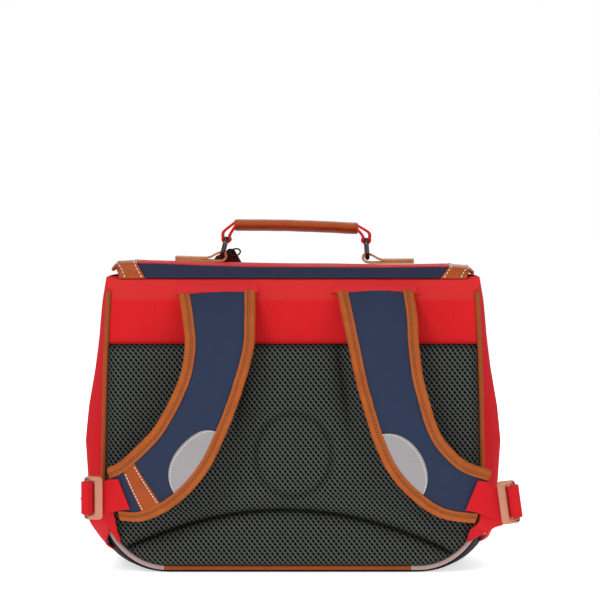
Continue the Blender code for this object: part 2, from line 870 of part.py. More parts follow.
def patch_on_strap(name, side, places, edges_of, thickness, material):
    # A thin plate over the strap's front between two lines across it
    rings = []
    for place in places:
        frame = strap_frame(side, place)
        low, high = edges_of(frame, place)
        base = frame["thick"] / 2 + piece_gap
        corners = [(low, base + thickness), ((low + high) / 2, base + thickness), (high, base + thickness)]
        corners += [(high, base), ((low + high) / 2, base), (low, base)]
        rings.append([frame["middle"] + frame["across"] * x + frame["normal"] * z for x, z in corners])
    return loft(name, rings, material)


def make_reflector(side, material):
    start, end = reflector_places[side]
    steps = 14

    def edges_of(frame, place):
        inner = -frame["half"] + binding_width + piece_gap
        outer = frame["half"] - binding_width - piece_gap
        share = (place - start) / (end - start)
        bow = math.sqrt(max(1 - (2 * share - 1) ** 2, 0.0))
        return inner, inner + patch_lip + (outer - inner) * reflector_share * bow

    middle = (start + end) / 2
    reach = (end - start) / 2
    places = [middle - reach * math.cos(math.pi * step / steps) for step in range(steps + 1)]
    return patch_on_strap("reflector_" + side, side, places, edges_of, patch_thickness, material)


def make_strap_label(material):
    half_rows = label_length / strap_row_length / 2
    steps = 4

    def edges_of(frame, place):
        margin = binding_width + 3 * piece_gap
        return margin - frame["half"], frame["half"] - margin

    places = [label_place - half_rows + 2 * half_rows * step / steps for step in range(steps + 1)]
    return patch_on_strap("strap_label", "left", places, edges_of, label_thickness, material)


# Webbing and buckles at the lower ends

def buckle_frame(side):
    # The buckle lies beyond the strap's end, in front of the webbing that runs under its inner bar
    frame = strap_frame(side, strap_end(side) + 1)
    across = Vector((frame["across"].x, 0.0, frame["across"].z)).normalized()
    normal = Vector((0.0, -1.0, 0.0))
    along = Vector((strap_tables[side][0] * abs(across.z), 0.0, -strap_tables[side][0] * across.x))
    web_plane = web_seat(side)
    middle = frame["middle"].copy()
    middle.y = -web_plane - web_thickness / 2 - piece_gap - buckle_thickness / 2
    return {"middle": middle, "across": across, "along": along, "normal": normal}


def web_seat(side):
    # Distance in front of the origin of the middle of the webbing sewn over the strap's end
    frame = strap_frame(side, strap_end(side))
    return -frame["middle"].y + frame["thick"] / 2 + binding_wall + 2 * piece_gap + web_thickness / 2


def in_buckle(frame, along, across, out):
    return frame["middle"] + frame["along"] * along + frame["across"] * across + frame["normal"] * out


def make_buckle(side, material):
    # A frame with one window, a wide inner bar and a narrow outer bar
    frame = buckle_frame(side)
    half_length = buckle_length / 2
    half_width = buckle_width / 2
    window = (-half_length + buckle_inner_bar, half_length - buckle_outer_bar)
    window_half = half_width - buckle_rail
    soft = buckle_corner
    turn = buckle_window_corner
    outer = [
        (-half_length, -half_width + soft),
        (-half_length + soft, -half_width),
        (half_length - soft, -half_width),
        (half_length, -half_width + soft),
        (half_length, half_width - soft),
        (half_length - soft, half_width),
        (-half_length + soft, half_width),
        (-half_length, half_width - soft),
    ]
    inner = [
        (window[0], -window_half + turn),
        (window[0] + turn, -window_half),
        (window[1] - turn, -window_half),
        (window[1], -window_half + turn),
        (window[1], window_half - turn),
        (window[1] - turn, window_half),
        (window[0] + turn, window_half),
        (window[0], window_half - turn),
    ]
    half_thick = buckle_thickness / 2
    bevel = buckle_bevel
    small = bevel * 0.6
    layers = []
    shoulder = half_thick - bevel
    depths = ((-half_thick, bevel), (-shoulder, 0.0), (shoulder, 0.0), (half_thick, bevel))
    for out, inset in depths:
        shrunk = [(a - math.copysign(inset, a), c - math.copysign(inset, c)) for a, c in outer]
        layers.append([in_buckle(frame, a, c, out) for a, c in shrunk])
    centre = (window[0] + window[1]) / 2
    depths = ((half_thick, small), (shoulder, 0.0), (-shoulder, 0.0), (-half_thick, small))
    for out, inset in depths:
        grown = [(a + math.copysign(inset, a - centre), c + math.copysign(inset, c)) for a, c in inner]
        layers.append([in_buckle(frame, a, c, out) for a, c in grown])
    return loft("buckle_" + side, layers, material, joined_ends=True)


def make_strap_web(side, material):
    # Sewn over the strap's end, under the buckle's inner bar, then round its outer bar
    buckle = buckle_frame(side)
    end = strap_end(side)
    behind = -buckle_thickness / 2 - piece_gap - web_thickness / 2
    half_length = buckle_length / 2
    bar_start = -half_length + buckle_inner_bar
    outer_start = half_length - buckle_outer_bar
    turn_reach = half_length + piece_gap + web_thickness * 0.6
    stations = []
    for place in (end - web_end_rows, end - web_end_rows / 10):
        frame = strap_frame(side, place)
        out = frame["thick"] / 2 + binding_wall + 2 * piece_gap + web_thickness / 2
        stations.append((frame["middle"] + frame["normal"] * out, frame["across"], frame["normal"]))
    across = buckle["across"]
    normal = buckle["normal"]
    along = buckle["along"]
    outward = (normal + along).normalized()
    inward = (along - normal).normalized()
    width_room = buckle_width - 2 * buckle_rail - 2 * piece_gap
    returned = behind - web_return
    middle_place = (bar_start + outer_start) / 2
    route = [
        (-half_length - web_lead, behind, normal),
        (bar_start - web_lead / 2, behind, normal),
        (middle_place - web_slack, 0.0, (normal - along).normalized()),
        (outer_start + web_slack * 0.67, -behind, normal),
        (half_length - web_slack, -behind, normal),
        (turn_reach, -behind * 0.5, outward),
        (turn_reach + web_slack / 3, behind * 0.5, inward),
        (half_length - web_lead / 2, returned, -normal),
        (outer_start + web_slack, returned, -normal),
    ]
    for place, out, face in route:
        stations.append((in_buckle(buckle, place, 0.0, out), across, face))
    return ribbon("strap_web_" + side, stations, min(web_width, width_room), web_thickness, material)


def leg_stations(start, first_pull, second_pull, finish, start_across, end_across):
    # A strip along a smooth bend whose width turns evenly from one direction to another
    steps = 8
    stations = []
    first = start + first_pull
    second = finish + second_pull
    for step in range(steps + 1):
        share = step / steps
        rest = 1 - share
        point = start * rest**3 + first * 3 * rest**2 * share
        point += second * 3 * rest * share**2 + finish * share**3
        ahead = (first - start) * rest**2 + (second - first) * 2 * rest * share
        ahead += (finish - second) * share**2
        ahead.normalize()
        across = start_across.lerp(end_across, share)
        across = (across - ahead * across.dot(ahead)).normalized()
        stations.append((point, across, across.cross(ahead)))
    return stations


def make_anchor_legs(side, material):
    # Two layers from behind the buckle to the lower corner: one on the pad, one on the gusset
    sign = strap_tables[side][0]
    buckle = buckle_frame(side)
    width = buckle_width - 2 * buckle_rail - 2 * piece_gap
    layer = buckle_thickness / 2 + 2 * piece_gap + web_thickness * 1.5 + web_return
    start = in_buckle(buckle, leg_start, 0.0, -layer)
    corner = Vector((sign * (body_half_width - leg_inset), 0.0, leg_end_height))
    shifts = (-width / 2, 0.0, width / 2)
    faces = [pad_front(corner.x + dx, corner.z + dz) for dx in shifts for dz in shifts]
    corner.y = min(faces) - piece_gap - web_thickness / 2
    slant = math.radians(leg_slant)
    end_across = Vector((-sign * math.sin(slant), 0.0, math.cos(slant)))
    down = Vector((-sign * math.cos(slant), 0.0, -math.sin(slant)))
    back = Vector((0.0, 1.0, 0.0))
    first_pull = back * leg_first_pull - buckle["along"] * leg_back_shift
    stations = leg_stations(start, first_pull, down * -leg_second_pull, corner, buckle["across"], end_across)
    ribbon("anchor_back_" + side, stations, width, web_thickness, material)

    stations = []
    for row in smooth_rows(side_leg_rows, 11):
        height = row["up"] * tray_height
        edge = panel_half_width(height)
        pair = []
        for name in ("inner", "outer"):
            out = edge + row[name + "_out"] * web_width
            fore = row[name + "_fore"] * web_width
            pair.append(Vector((sign * out, rear_face - fore, height)))
        stations.append(pair)
    rings = []
    for index, (inner, outer) in enumerate(stations):
        before = stations[max(index - 1, 0)]
        after = stations[min(index + 1, len(stations) - 1)]
        ahead = after[0] + after[1] - before[0] - before[1]
        face = (outer - inner).cross(ahead).normalized() * web_thickness / 2
        rings.append([inner + face, outer + face, outer - face, inner - face])
    loft("anchor_side_" + side, rings, material)


def build():
    for item in list(bpy.data.objects):
        bpy.data.objects.remove(item)
    red = make_material("red_fabric", (200, 38, 42), 0.75)
    red_ribbed = make_material("red_ribbed_fabric", (205, 36, 41), 0.8)
    webbing = make_material("red_webbing", (206, 34, 39), 0.7)
    navy = make_material("navy_fabric", (44, 52, 74), 0.8)
    mesh = make_material("air_mesh", (72, 75, 71), 0.95)
    black = make_material("black_fabric", (24, 24, 26), 0.8)
    brown = make_material("brown_binding", (165, 86, 40), 0.6)
    silver = make_material("reflective_trim", (165, 160, 162), 0.35)
    leather = make_material("brown_leather", (150, 74, 34), 0.5)
    tan = make_material("tan_leather", (186, 110, 60), 0.55)
    dark_leather = make_material("dark_leather", (66, 22, 26), 0.5)
    plastic = make_material("brown_plastic", (176, 112, 92), 0.35)
    metal = make_material("dark_metal", (70, 68, 70), 0.3, 1.0)
    cord = make_material("dark_cord", (30, 26, 26), 0.8)

    make_base_tray(black)
    make_body_shell(red)
    make_back_pad(mesh)
    make_top_band(red_ribbed)
    make_top_hem(red)
    make_piping(brown, silver)
    make_flap(navy, red, leather)
    make_flap_clasp(metal)
    make_grip(leather)
    make_tag(dark_leather, cord)
    for side in ("left", "right"):
        make_ring(side, metal)
        make_ring_tab(side, tan)
        make_grip_web(side, webbing)
        make_strap_core(side, navy)
        make_strap_binding(side, "inner", brown)
        make_strap_binding(side, "outer", brown)
        make_reflector(side, silver)
        make_strap_web(side, webbing)
        make_buckle(side, plastic)
        make_anchor_legs(side, webbing)
    make_strap_label(leather)


build()
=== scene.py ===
import math

import bmesh
import bpy
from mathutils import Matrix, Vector, noise


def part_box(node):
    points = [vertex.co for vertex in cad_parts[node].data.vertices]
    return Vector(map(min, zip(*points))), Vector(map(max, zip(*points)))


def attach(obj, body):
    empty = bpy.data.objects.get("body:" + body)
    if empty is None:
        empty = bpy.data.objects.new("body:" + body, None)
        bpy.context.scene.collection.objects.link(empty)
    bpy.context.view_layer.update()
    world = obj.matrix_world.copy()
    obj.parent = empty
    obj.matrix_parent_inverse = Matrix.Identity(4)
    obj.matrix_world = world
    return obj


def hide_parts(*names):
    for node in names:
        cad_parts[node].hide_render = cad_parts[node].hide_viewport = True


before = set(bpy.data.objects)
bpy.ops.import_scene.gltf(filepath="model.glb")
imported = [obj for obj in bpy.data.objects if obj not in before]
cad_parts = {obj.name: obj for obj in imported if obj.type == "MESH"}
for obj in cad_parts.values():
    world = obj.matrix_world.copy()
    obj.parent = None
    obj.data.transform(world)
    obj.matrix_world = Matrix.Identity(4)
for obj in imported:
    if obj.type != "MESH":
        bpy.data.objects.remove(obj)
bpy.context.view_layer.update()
bpy.ops.object.select_all(action="DESELECT")
print("frame loaded")

# The bag's own sizes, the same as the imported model's
body = {
    "height": 0.292, "halfWidth": 0.190, "depth": 0.130, "topTaper": 0.0065,
    "cornerReach": 0.0645, "cornerRise": 0.070, "cornerPower": 2.2,
    "pipeSeat": 0.0025, "seamReach": 0.0655, "seamRise": 0.0715,
    "bulge": 0.022, "edge": 0.005, "wall": 0.0025, "trayHeight": 0.045, "gap": 0.0003,
    "pipe": 0.005, "padHeight": 0.227, "hemHeight": 0.0125, "bandThick": 0.002,
}
rearFace = -body["depth"] / 2 - body["gap"]
sideSign = {"left": -1, "right": 1}


# Camera, light and floor

cameraLook = {"place": (0.007, -2.260, 0.375), "aim": (0.007, -0.075, 0.271), "lens": 133.4}
lightLook = [
    {"name": "key", "place": (-1.1, -1.9, 1.9), "size": 0.9, "power": 27},
    {"name": "fill", "place": (1.6, -1.9, 1.0), "size": 1.8, "power": 8},
    {"name": "top", "place": (0.1, 0.4, 2.1), "size": 1.6, "power": 8},
    {"name": "far", "place": (0.4, 2.2, 1.3), "size": 1.8, "power": 14},
]
studioLook = {
    "floor": (0.90, 0.90, 0.90, 1), "world": (1.0, 1.0, 1.0, 1), "light": 0.47, "seen": 1.0,
    "glow": 0.62, "floorSize": 30, "lampAim": (0.0, 0.0, 0.15),
}


def aimAt(item, target):
    item.rotation_euler = (Vector(target) - item.location).to_track_quat("-Z", "Y").to_euler()


def setStudio():
    scene = bpy.context.scene
    camera = bpy.data.objects.new("camera", bpy.data.cameras.new("camera"))
    scene.collection.objects.link(camera)
    camera.location = cameraLook["place"]
    camera.data.lens = cameraLook["lens"]
    camera.data.sensor_width = 36
    aimAt(camera, cameraLook["aim"])
    scene.camera = camera
    for look in lightLook:
        name = look["name"] + "Light"
        lamp = bpy.data.objects.new(name, bpy.data.lights.new(name, "AREA"))
        scene.collection.objects.link(lamp)
        lamp.data.shape = "DISK"
        lamp.data.size = look["size"]
        lamp.data.energy = look["power"]
        lamp.location = look["place"]
        aimAt(lamp, studioLook["lampAim"])
    world = bpy.data.worlds.new("studio")
    world.use_nodes = True
    backdrop = world.node_tree.nodes["Background"]
    backdrop.inputs["Color"].default_value = studioLook["world"]
    rays = world.node_tree.nodes.new("ShaderNodeLightPath")
    level = world.node_tree.nodes.new("ShaderNodeMapRange")
    level.inputs["To Min"].default_value = studioLook["light"]
    level.inputs["To Max"].default_value = studioLook["seen"]
    world.node_tree.links.new(rays.outputs["Is Camera Ray"], level.inputs["Value"])
    world.node_tree.links.new(level.outputs[0], backdrop.inputs["Strength"])
    scene.world = world
    scene.view_settings.view_transform = "Standard"
    bpy.ops.mesh.primitive_plane_add(size=studioLook["floorSize"], location=(0, 0, -body["gap"]))
    floor = bpy.context.object
    floor.name = "floor"
    paint = bpy.data.materials.new("paleFloor")
    paint.use_nodes = True
    coat = paint.node_tree.nodes["Principled BSDF"]
    coat.inputs["Base Color"].default_value = studioLook["floor"]
    coat.inputs["Roughness"].default_value = 0.9
    coat.inputs["Emission Color"].default_value = studioLook["world"]
    coat.inputs["Emission Strength"].default_value = studioLook["glow"]
    floor.data.materials.append(paint)
    bpy.ops.object.select_all(action="DESELECT")
    print("camera, lights and floor set")


setStudio()


# Node helpers

def srgb(red, green, blue):
    result = []
    for channel in (red, green, blue):
        share = channel / 255
        result.append(share / 12.92 if share <= 0.04045 else ((share + 0.055) / 1.055) ** 2.4)
    return (*result, 1.0)


def feed(tree, socket, value):
    if isinstance(value, bpy.types.NodeSocket):
        tree.links.new(value, socket)
    else:
        socket.default_value = value


def calc(tree, operation, *values):
    node = tree.nodes.new("ShaderNodeMath")
    node.operation = operation
    for socket, value in zip(node.inputs, values):
        feed(tree, socket, value)
    return node.outputs[0]


def ramp(tree, value, low, high, start=0.0, end=1.0):
    node = tree.nodes.new("ShaderNodeMapRange")
    node.interpolation_type = "SMOOTHSTEP"
    for socket, given in zip(node.inputs, (value, low, high, start, end)):
        feed(tree, socket, given)
    return node.outputs[0]


def blendColour(tree, factor, first, second):
    node = tree.nodes.new("ShaderNodeMix")
    node.data_type = "RGBA"
    for index, value in ((0, factor), (6, first), (7, second)):
        feed(tree, node.inputs[index], value)
    return node.outputs[2]


def scaleColour(tree, colour, value):
    node = tree.nodes.new("ShaderNodeVectorMath")
    node.operation = "SCALE"
    feed(tree, node.inputs[0], colour if isinstance(colour, bpy.types.NodeSocket) else colour[:3])
    feed(tree, node.inputs["Scale"], value)
    return node.outputs[0]


def noiseValue(tree, vector, scale, detail=2.0):
    node = tree.nodes.new("ShaderNodeTexNoise")
    feed(tree, node.inputs["Vector"], vector)
    feed(tree, node.inputs["Scale"], scale)
    node.inputs["Detail"].default_value = detail
    return node.outputs[0]


def newGroup(name, inputs, outputs):
    group = bpy.data.node_groups.new(name, "ShaderNodeTree")
    for label, kind, value in inputs:
        socket = group.interface.new_socket(label, in_out="INPUT", socket_type="NodeSocket" + kind)
        if value is not None:
            socket.default_value = value
    for label, kind in outputs:
        group.interface.new_socket(label, in_out="OUTPUT", socket_type="NodeSocket" + kind)
    return group, group.nodes.new("NodeGroupInput"), group.nodes.new("NodeGroupOutput")


def useGroup(tree, group, **values):
    node = tree.nodes.new("ShaderNodeGroup")
    node.node_tree = group
    for label, value in values.items():
        feed(tree, node.inputs[label], value)
    return node


def newPattern(name, label, size):
    # A group that turns a place and one size into a height and a shade
    sizes = [("Vector", "Vector", None), (label, "Float", size)]
    return newGroup(name, sizes, [("Height", "Float"), ("Shade", "Float")])


def splitPlace(group, start):
    split = group.nodes.new("ShaderNodeSeparateXYZ")
    group.links.new(start.outputs["Vector"], split.inputs[0])
    return split.outputs


def putOut(group, end, **values):
    for label, value in values.items():
        group.links.new(value, end.inputs[label])
    return group


# Shared effects

def makeWeaveGroup():
    # Threads over and under each other, with a little fuzz
    group, start, end = newPattern("clothWeave", "Pitch", 0.001)
    axes = splitPlace(group, start)
    turn = calc(group, "DIVIDE", 2 * math.pi, start.outputs["Pitch"])
    across = calc(group, "SINE", calc(group, "MULTIPLY", axes[0], turn))
    along = calc(group, "SINE", calc(group, "MULTIPLY", axes[1], turn))
    crossing = calc(group, "MULTIPLY", across, along)
    fine = calc(group, "DIVIDE", 0.7, start.outputs["Pitch"])
    fuzz = noiseValue(group, start.outputs["Vector"], fine, 3.0)
    height = calc(group, "MULTIPLY_ADD", crossing, 0.3, fuzz)
    return putOut(group, end, Height=height, Shade=ramp(group, height, 0.2, 0.8))


def makeRibGroup():
    # Even ribs across the first coordinate
    group, start, end = newPattern("clothRibs", "Pitch", 0.001)
    turn = calc(group, "DIVIDE", math.pi, start.outputs["Pitch"])
    wave = calc(group, "SINE", calc(group, "MULTIPLY", splitPlace(group, start)[0], turn))
    wave = calc(group, "ABSOLUTE", wave)
    return putOut(group, end, Height=wave, Shade=ramp(group, wave, 0.05, 0.7))


def makeMottleGroup():
    # Slow changes of a colour over the surface
    group, start, end = newGroup(
        "mottle",
        [("Vector", "Vector", None), ("Color", "Color", None),
         ("Scale", "Float", 60.0), ("Amount", "Float", 0.1)],
        [("Color", "Color"), ("Value", "Float")],
    )
    slow = noiseValue(group, start.outputs["Vector"], start.outputs["Scale"], 3.0)
    fine = calc(group, "MULTIPLY", start.outputs["Scale"], 9.0)
    fast = noiseValue(group, start.outputs["Vector"], fine, 2.0)
    both = calc(group, "MULTIPLY_ADD", fast, 0.35, slow)
    spread = calc(group, "MULTIPLY", calc(group, "SUBTRACT", both, 0.675), 3.0)
    value = calc(group, "MULTIPLY_ADD", spread, start.outputs["Amount"], 1.0)
    return putOut(group, end, Color=scaleColour(group, start.outputs["Color"], value), Value=both)


def makeGrainGroup():
    # Pebbled leather
    group, start, end = newPattern("leatherGrain", "Scale", 900.0)
    cells = group.nodes.new("ShaderNodeTexVoronoi")
    for label in ("Vector", "Scale"):
        group.links.new(start.outputs[label], cells.inputs[label])
    coarse = calc(group, "MULTIPLY", start.outputs["Scale"], 0.5)
    pores = noiseValue(group, start.outputs["Vector"], coarse, 4.0)
    height = calc(group, "MULTIPLY_ADD", cells.outputs["Distance"], -0.6, pores)
    return putOut(group, end, Height=height, Shade=ramp(group, height, -0.1, 0.5))


def makeHoleGroup():
    # Staggered oval holes of a spacer mesh, with strands crossing between them; sizes in metres
    group, start, end = newGroup(
        "spacerHoles",
        [("Vector", "Vector", None), ("Width", "Float", 0.005), ("Rise", "Float", 0.0064),
         ("HoleWidth", "Float", 0.0015), ("HoleRise", "Float", 0.001)],
        [("Height", "Float"), ("Thread", "Float"), ("Strand", "Float")],
    )
    axes = splitPlace(group, start)
    across = calc(group, "DIVIDE", axes[0], start.outputs["Width"])
    up = calc(group, "DIVIDE", axes[1], start.outputs["Rise"])

    def cellDistance(shift):
        parts = []
        for cells, period in ((across, "Width"), (up, "Rise")):
            offset = calc(group, "SUBTRACT", calc(group, "FRACT", calc(group, "ADD", cells, shift)), 0.5)
            metres = calc(group, "MULTIPLY", offset, start.outputs[period])
            share = calc(group, "DIVIDE", metres, start.outputs["Hole" + period])
            parts.append(calc(group, "POWER", share, 2.0))
        return calc(group, "SQRT", calc(group, "ADD", *parts))

    distance = calc(group, "MINIMUM", cellDistance(0.0), cellDistance(0.5))
    thread = ramp(group, distance, 0.70, 1.16)
    strands = []
    for operation, share in (("ADD", 1.0), ("SUBTRACT", 0.8)):
        turn = calc(group, "MULTIPLY", calc(group, operation, across, up), math.pi)
        strands.append(calc(group, "MULTIPLY", calc(group, "ABSOLUTE", calc(group, "SINE", turn)), share))
    strand = calc(group, "POWER", calc(group, "MAXIMUM", *strands), 3.6)
    fuzz = noiseValue(group, start.outputs["Vector"], 1800.0, 2.0)
    height = calc(group, "MULTIPLY", thread, calc(group, "MULTIPLY_ADD", fuzz, 0.25, 0.85))
    return putOut(group, end, Height=height, Thread=thread, Strand=strand)


weaveGroup = makeWeaveGroup()
ribGroup = makeRibGroup()
mottleGroup = makeMottleGroup()
grainGroup = makeGrainGroup()
holeGroup = makeHoleGroup()
print("shared effects made")


# Materials

fabricLooks = {
    "redFabric": {"colour": (201, 41, 43), "rough": 0.72, "pitch": 0.0011, "bump": 0.25, "amount": 0.05,
                  "scale": 45},
    "redGusset": {"colour": (192, 24, 31), "rough": 0.8, "gloss": 0.05, "pitch": 0.0011, "bump": 0.22,
                  "amount": 0.06, "scale": 30},
    "navyFlapCloth": {"colour": (39, 43, 65), "rough": 0.75, "pitch": 0.0011, "bump": 0.25, "amount": 0.08,
                      "scale": 50},
    "blackBase": {"colour": (26, 26, 30), "rough": 0.7, "pitch": 0.0012, "bump": 0.3, "amount": 0.10,
                  "scale": 60},
}
ribbedLooks = {
    "ribbedBand": {"colour": (203, 27, 32), "rough": 0.75, "pitch": 0.0020, "dark": 0.84, "bump": 0.2,
                   "amount": 0.04},
    "navyStrapCloth": {"colour": (40, 50, 73), "rough": 0.72, "pitch": 0.0016, "dark": 0.86, "bump": 0.25,
                       "amount": 0.08},
    "redWebbing": {"colour": (199, 24, 32), "rough": 0.66, "pitch": 0.0016, "dark": 0.84, "bump": 0.45,
                   "amount": 0.06},
    "brownBinding": {"colour": (166, 84, 36), "rough": 0.70, "pitch": 0.0011, "dark": 0.84, "bump": 0.40,
                     "amount": 0.17},
    "brownPiping": {"colour": (146, 72, 32), "rough": 0.70, "pitch": 0.0012, "dark": 0.84, "bump": 0.35,
                    "amount": 0.10},
    "silverPiping": {"colour": (172, 146, 142), "rough": 0.38, "pitch": 0.0012, "dark": 0.80, "bump": 0.30,
                     "amount": 0.06},
}
leatherLooks = {
    "brownLeather": {"colour": (158, 71, 26), "rough": 0.46, "grain": 700, "bump": 0.18, "amount": 0.12,
                     "scale": 60},
    "tanLeather": {"colour": (178, 110, 62), "rough": 0.55, "grain": 800, "bump": 0.2, "amount": 0.14,
                   "scale": 90},
    "rawEdge": {"colour": (202, 148, 100), "rough": 0.8, "grain": 1500, "bump": 0.3, "amount": 0.18,
                "scale": 240},
    "seamEdge": {"colour": (170, 116, 118), "rough": 0.8, "grain": 1500, "bump": 0.3, "amount": 0.15,
                 "scale": 200},
    "oxbloodLeather": {"colour": (74, 22, 28), "rough": 0.45, "grain": 800, "bump": 0.25, "amount": 0.2,
                       "scale": 120},
}

plainLooks = {
    "reflective": {"colour": (148, 144, 146), "rough": 0.36, "metal": 0.15, "scale": 900, "amount": 0.05,
                   "bump": 0.12},
    "buckleBrown": {"colour": (186, 122, 96), "rough": 0.30, "metal": 0.0, "scale": 90, "amount": 0.08,
                    "bump": 0.05},
    "gunMetal": {"colour": (84, 80, 80), "rough": 0.26, "metal": 1.0, "scale": 200, "amount": 0.15,
                 "bump": 0.05},
    "whiteThread": {"colour": (226, 216, 204), "rough": 0.7, "metal": 0.0, "scale": 1500, "amount": 0.08,
                    "bump": 0.3},
    "brownThread": {"colour": (192, 126, 78), "rough": 0.7, "metal": 0.0, "scale": 700, "amount": 0.22,
                    "bump": 0.3},
    "darkCord": {"colour": (34, 28, 28), "rough": 0.7, "metal": 0.0, "scale": 900, "amount": 0.15,
                 "bump": 0.3},
}
turnedRibs = ("redWebbing", "brownBinding", "brownPiping", "silverPiping")


def newMaterial(name, roughness, metallic=0.0):
    material = bpy.data.materials.new(name)
    material.use_nodes = True
    tree = material.node_tree
    shader = tree.nodes["Principled BSDF"]
    shader.inputs["Roughness"].default_value = roughness
    shader.inputs["Metallic"].default_value = metallic
    return material, tree, shader, tree.nodes.new("ShaderNodeTexCoord")


def addMottle(tree, place, look, scale):
    return useGroup(
        tree, mottleGroup, Vector=place.outputs["Object"], Color=srgb(*look["colour"]),
        Scale=float(scale), Amount=look["amount"],
    )


def paintedShadeShare(tree):
    # How much painted shade a point gets, as stored on the mesh by storePaintedShade
    node = tree.nodes.new("ShaderNodeAttribute")
    node.attribute_name = "paintedShade"
    return node.outputs["Fac"]


def addBump(tree, shader, height, strength, distance=0.0004):
    bump = tree.nodes.new("ShaderNodeBump")
    bump.inputs["Strength"].default_value = strength
    bump.inputs["Distance"].default_value = distance
    tree.links.new(height, bump.inputs["Height"])
    tree.links.new(bump.outputs[0], shader.inputs["Normal"])


def finishCloth(tree, shader, look, mottle, threads, shade):
    feed(tree, shader.inputs["Base Color"], scaleColour(tree, mottle.outputs["Color"], shade))
    rough = calc(tree, "MULTIPLY_ADD", mottle.outputs["Value"], 0.15, look["rough"] - 0.1)
    feed(tree, shader.inputs["Roughness"], rough)
    shader.inputs["Specular IOR Level"].default_value = look.get("gloss", 0.12)
    addBump(tree, shader, threads.outputs["Height"], look["bump"])


def makeFabric(name, look):
    material, tree, shader, place = newMaterial(name, look["rough"])
    weave = useGroup(tree, weaveGroup, Vector=place.outputs["UV"], Pitch=look["pitch"])
    shade = calc(tree, "MULTIPLY_ADD", weave.outputs["Shade"], 0.16, 0.90)
    finishCloth(tree, shader, look, addMottle(tree, place, look, look["scale"]), weave, shade)
    return material


def makeRibbed(name, look, turned):
    # Ribs run along the piece; turned ribs run across it
    material, tree, shader, place = newMaterial(name, look["rough"])
    vector = place.outputs["UV"]
    if turned:
        turn = tree.nodes.new("ShaderNodeMapping")
        turn.inputs["Rotation"].default_value = (0, 0, math.pi / 2)
        tree.links.new(vector, turn.inputs["Vector"])
        vector = turn.outputs[0]
    ribs = useGroup(tree, ribGroup, Vector=vector, Pitch=look["pitch"])
    shade = calc(tree, "MULTIPLY_ADD", ribs.outputs["Shade"], 1.06 - look["dark"], look["dark"])
    # Painted shade where a mesh stores it, as in the binding tape's stitched groove
    shade = calc(tree, "MULTIPLY", shade, calc(tree, "MULTIPLY_ADD", paintedShadeShare(tree), -0.6, 1.0))
    finishCloth(tree, shader, look, addMottle(tree, place, look, 70), ribs, shade)
    return material


def makeLeather(name, look):
    material, tree, shader, place = newMaterial(name, look["rough"])
    grain = useGroup(tree, grainGroup, Vector=place.outputs["Object"], Scale=float(look["grain"]))
    mottle = addMottle(tree, place, look, look["scale"])
    shade = calc(tree, "MULTIPLY_ADD", grain.outputs["Shade"], 0.16, 0.88)
    feed(tree, shader.inputs["Base Color"], scaleColour(tree, mottle.outputs["Color"], shade))
    rough = calc(tree, "MULTIPLY_ADD", grain.outputs["Shade"], -0.12, look["rough"] + 0.06)
    feed(tree, shader.inputs["Roughness"], rough)
    shader.inputs["Specular IOR Level"].default_value = 0.18
    addBump(tree, shader, grain.outputs["Height"], look["bump"], 0.0003)
    return material


# The mesh's colours: its yarn, a painted highlight for its strands, a near-black for the painted shade inside
# its holes, and how much colour the painted shade leaves at its deepest
meshLook = {
    "colour": (39, 41, 38), "amount": 0.10, "glintColour": (90, 93, 87), "glint": 0.85,
    "holeShade": (4, 5, 6), "creaseShade": 0.22, "width": 0.00505, "rise": 0.0064,
    "holeWidth": 0.00126, "holeRise": 0.00138, "bump": 0.9,
}


def makeAirMesh():
    material, tree, shader, place = newMaterial("airMesh", 0.92)
    holes = useGroup(
        tree, holeGroup, Vector=place.outputs["UV"], Width=meshLook["width"], Rise=meshLook["rise"],
        HoleWidth=meshLook["holeWidth"], HoleRise=meshLook["holeRise"],
    )
    mottle = addMottle(tree, place, meshLook, 40)
    # A painted highlight along the diagonal strands between the holes
    glint = calc(tree, "MULTIPLY", holes.outputs["Strand"], meshLook["glint"])
    yarnWithGlint = blendColour(tree, glint, mottle.outputs["Color"], srgb(*meshLook["glintColour"]))
    # Painted shade in the arch groove and hollows, at the sides and a painted shadow under the band
    shade = calc(tree, "MULTIPLY_ADD", paintedShadeShare(tree), meshLook["creaseShade"] - 1.0, 1.0)
    # The holes are painted near-black, standing in for the shade inside them
    knitted = blendColour(tree, holes.outputs["Thread"], srgb(*meshLook["holeShade"]), yarnWithGlint)
    feed(tree, shader.inputs["Base Color"], scaleColour(tree, knitted, shade))
    shader.inputs["Specular IOR Level"].default_value = 0.05
    addBump(tree, shader, holes.outputs["Height"], meshLook["bump"], 0.0012)
    return material


def makePlain(name, look):
    material, tree, shader, place = newMaterial(name, look["rough"], look["metal"])
    mottle = addMottle(tree, place, look, look["scale"])
    feed(tree, shader.inputs["Base Color"], mottle.outputs["Color"])
    rough = calc(tree, "MULTIPLY_ADD", mottle.outputs["Value"], 0.2, look["rough"] - 0.13)
    feed(tree, shader.inputs["Roughness"], rough)
    addBump(tree, shader, mottle.outputs["Value"], look["bump"], 0.0002)
    return material


finish = {}
for title, given in fabricLooks.items():
    finish[title] = makeFabric(title, given)
for title, given in ribbedLooks.items():
    finish[title] = makeRibbed(title, given, title in turnedRibs)
for title, given in leatherLooks.items():
    finish[title] = makeLeather(title, given)
for title, given in plainLooks.items():
    finish[title] = makePlain(title, given)
finish["airMesh"] = makeAirMesh()
print("materials made:", len(finish))


# Mesh helpers

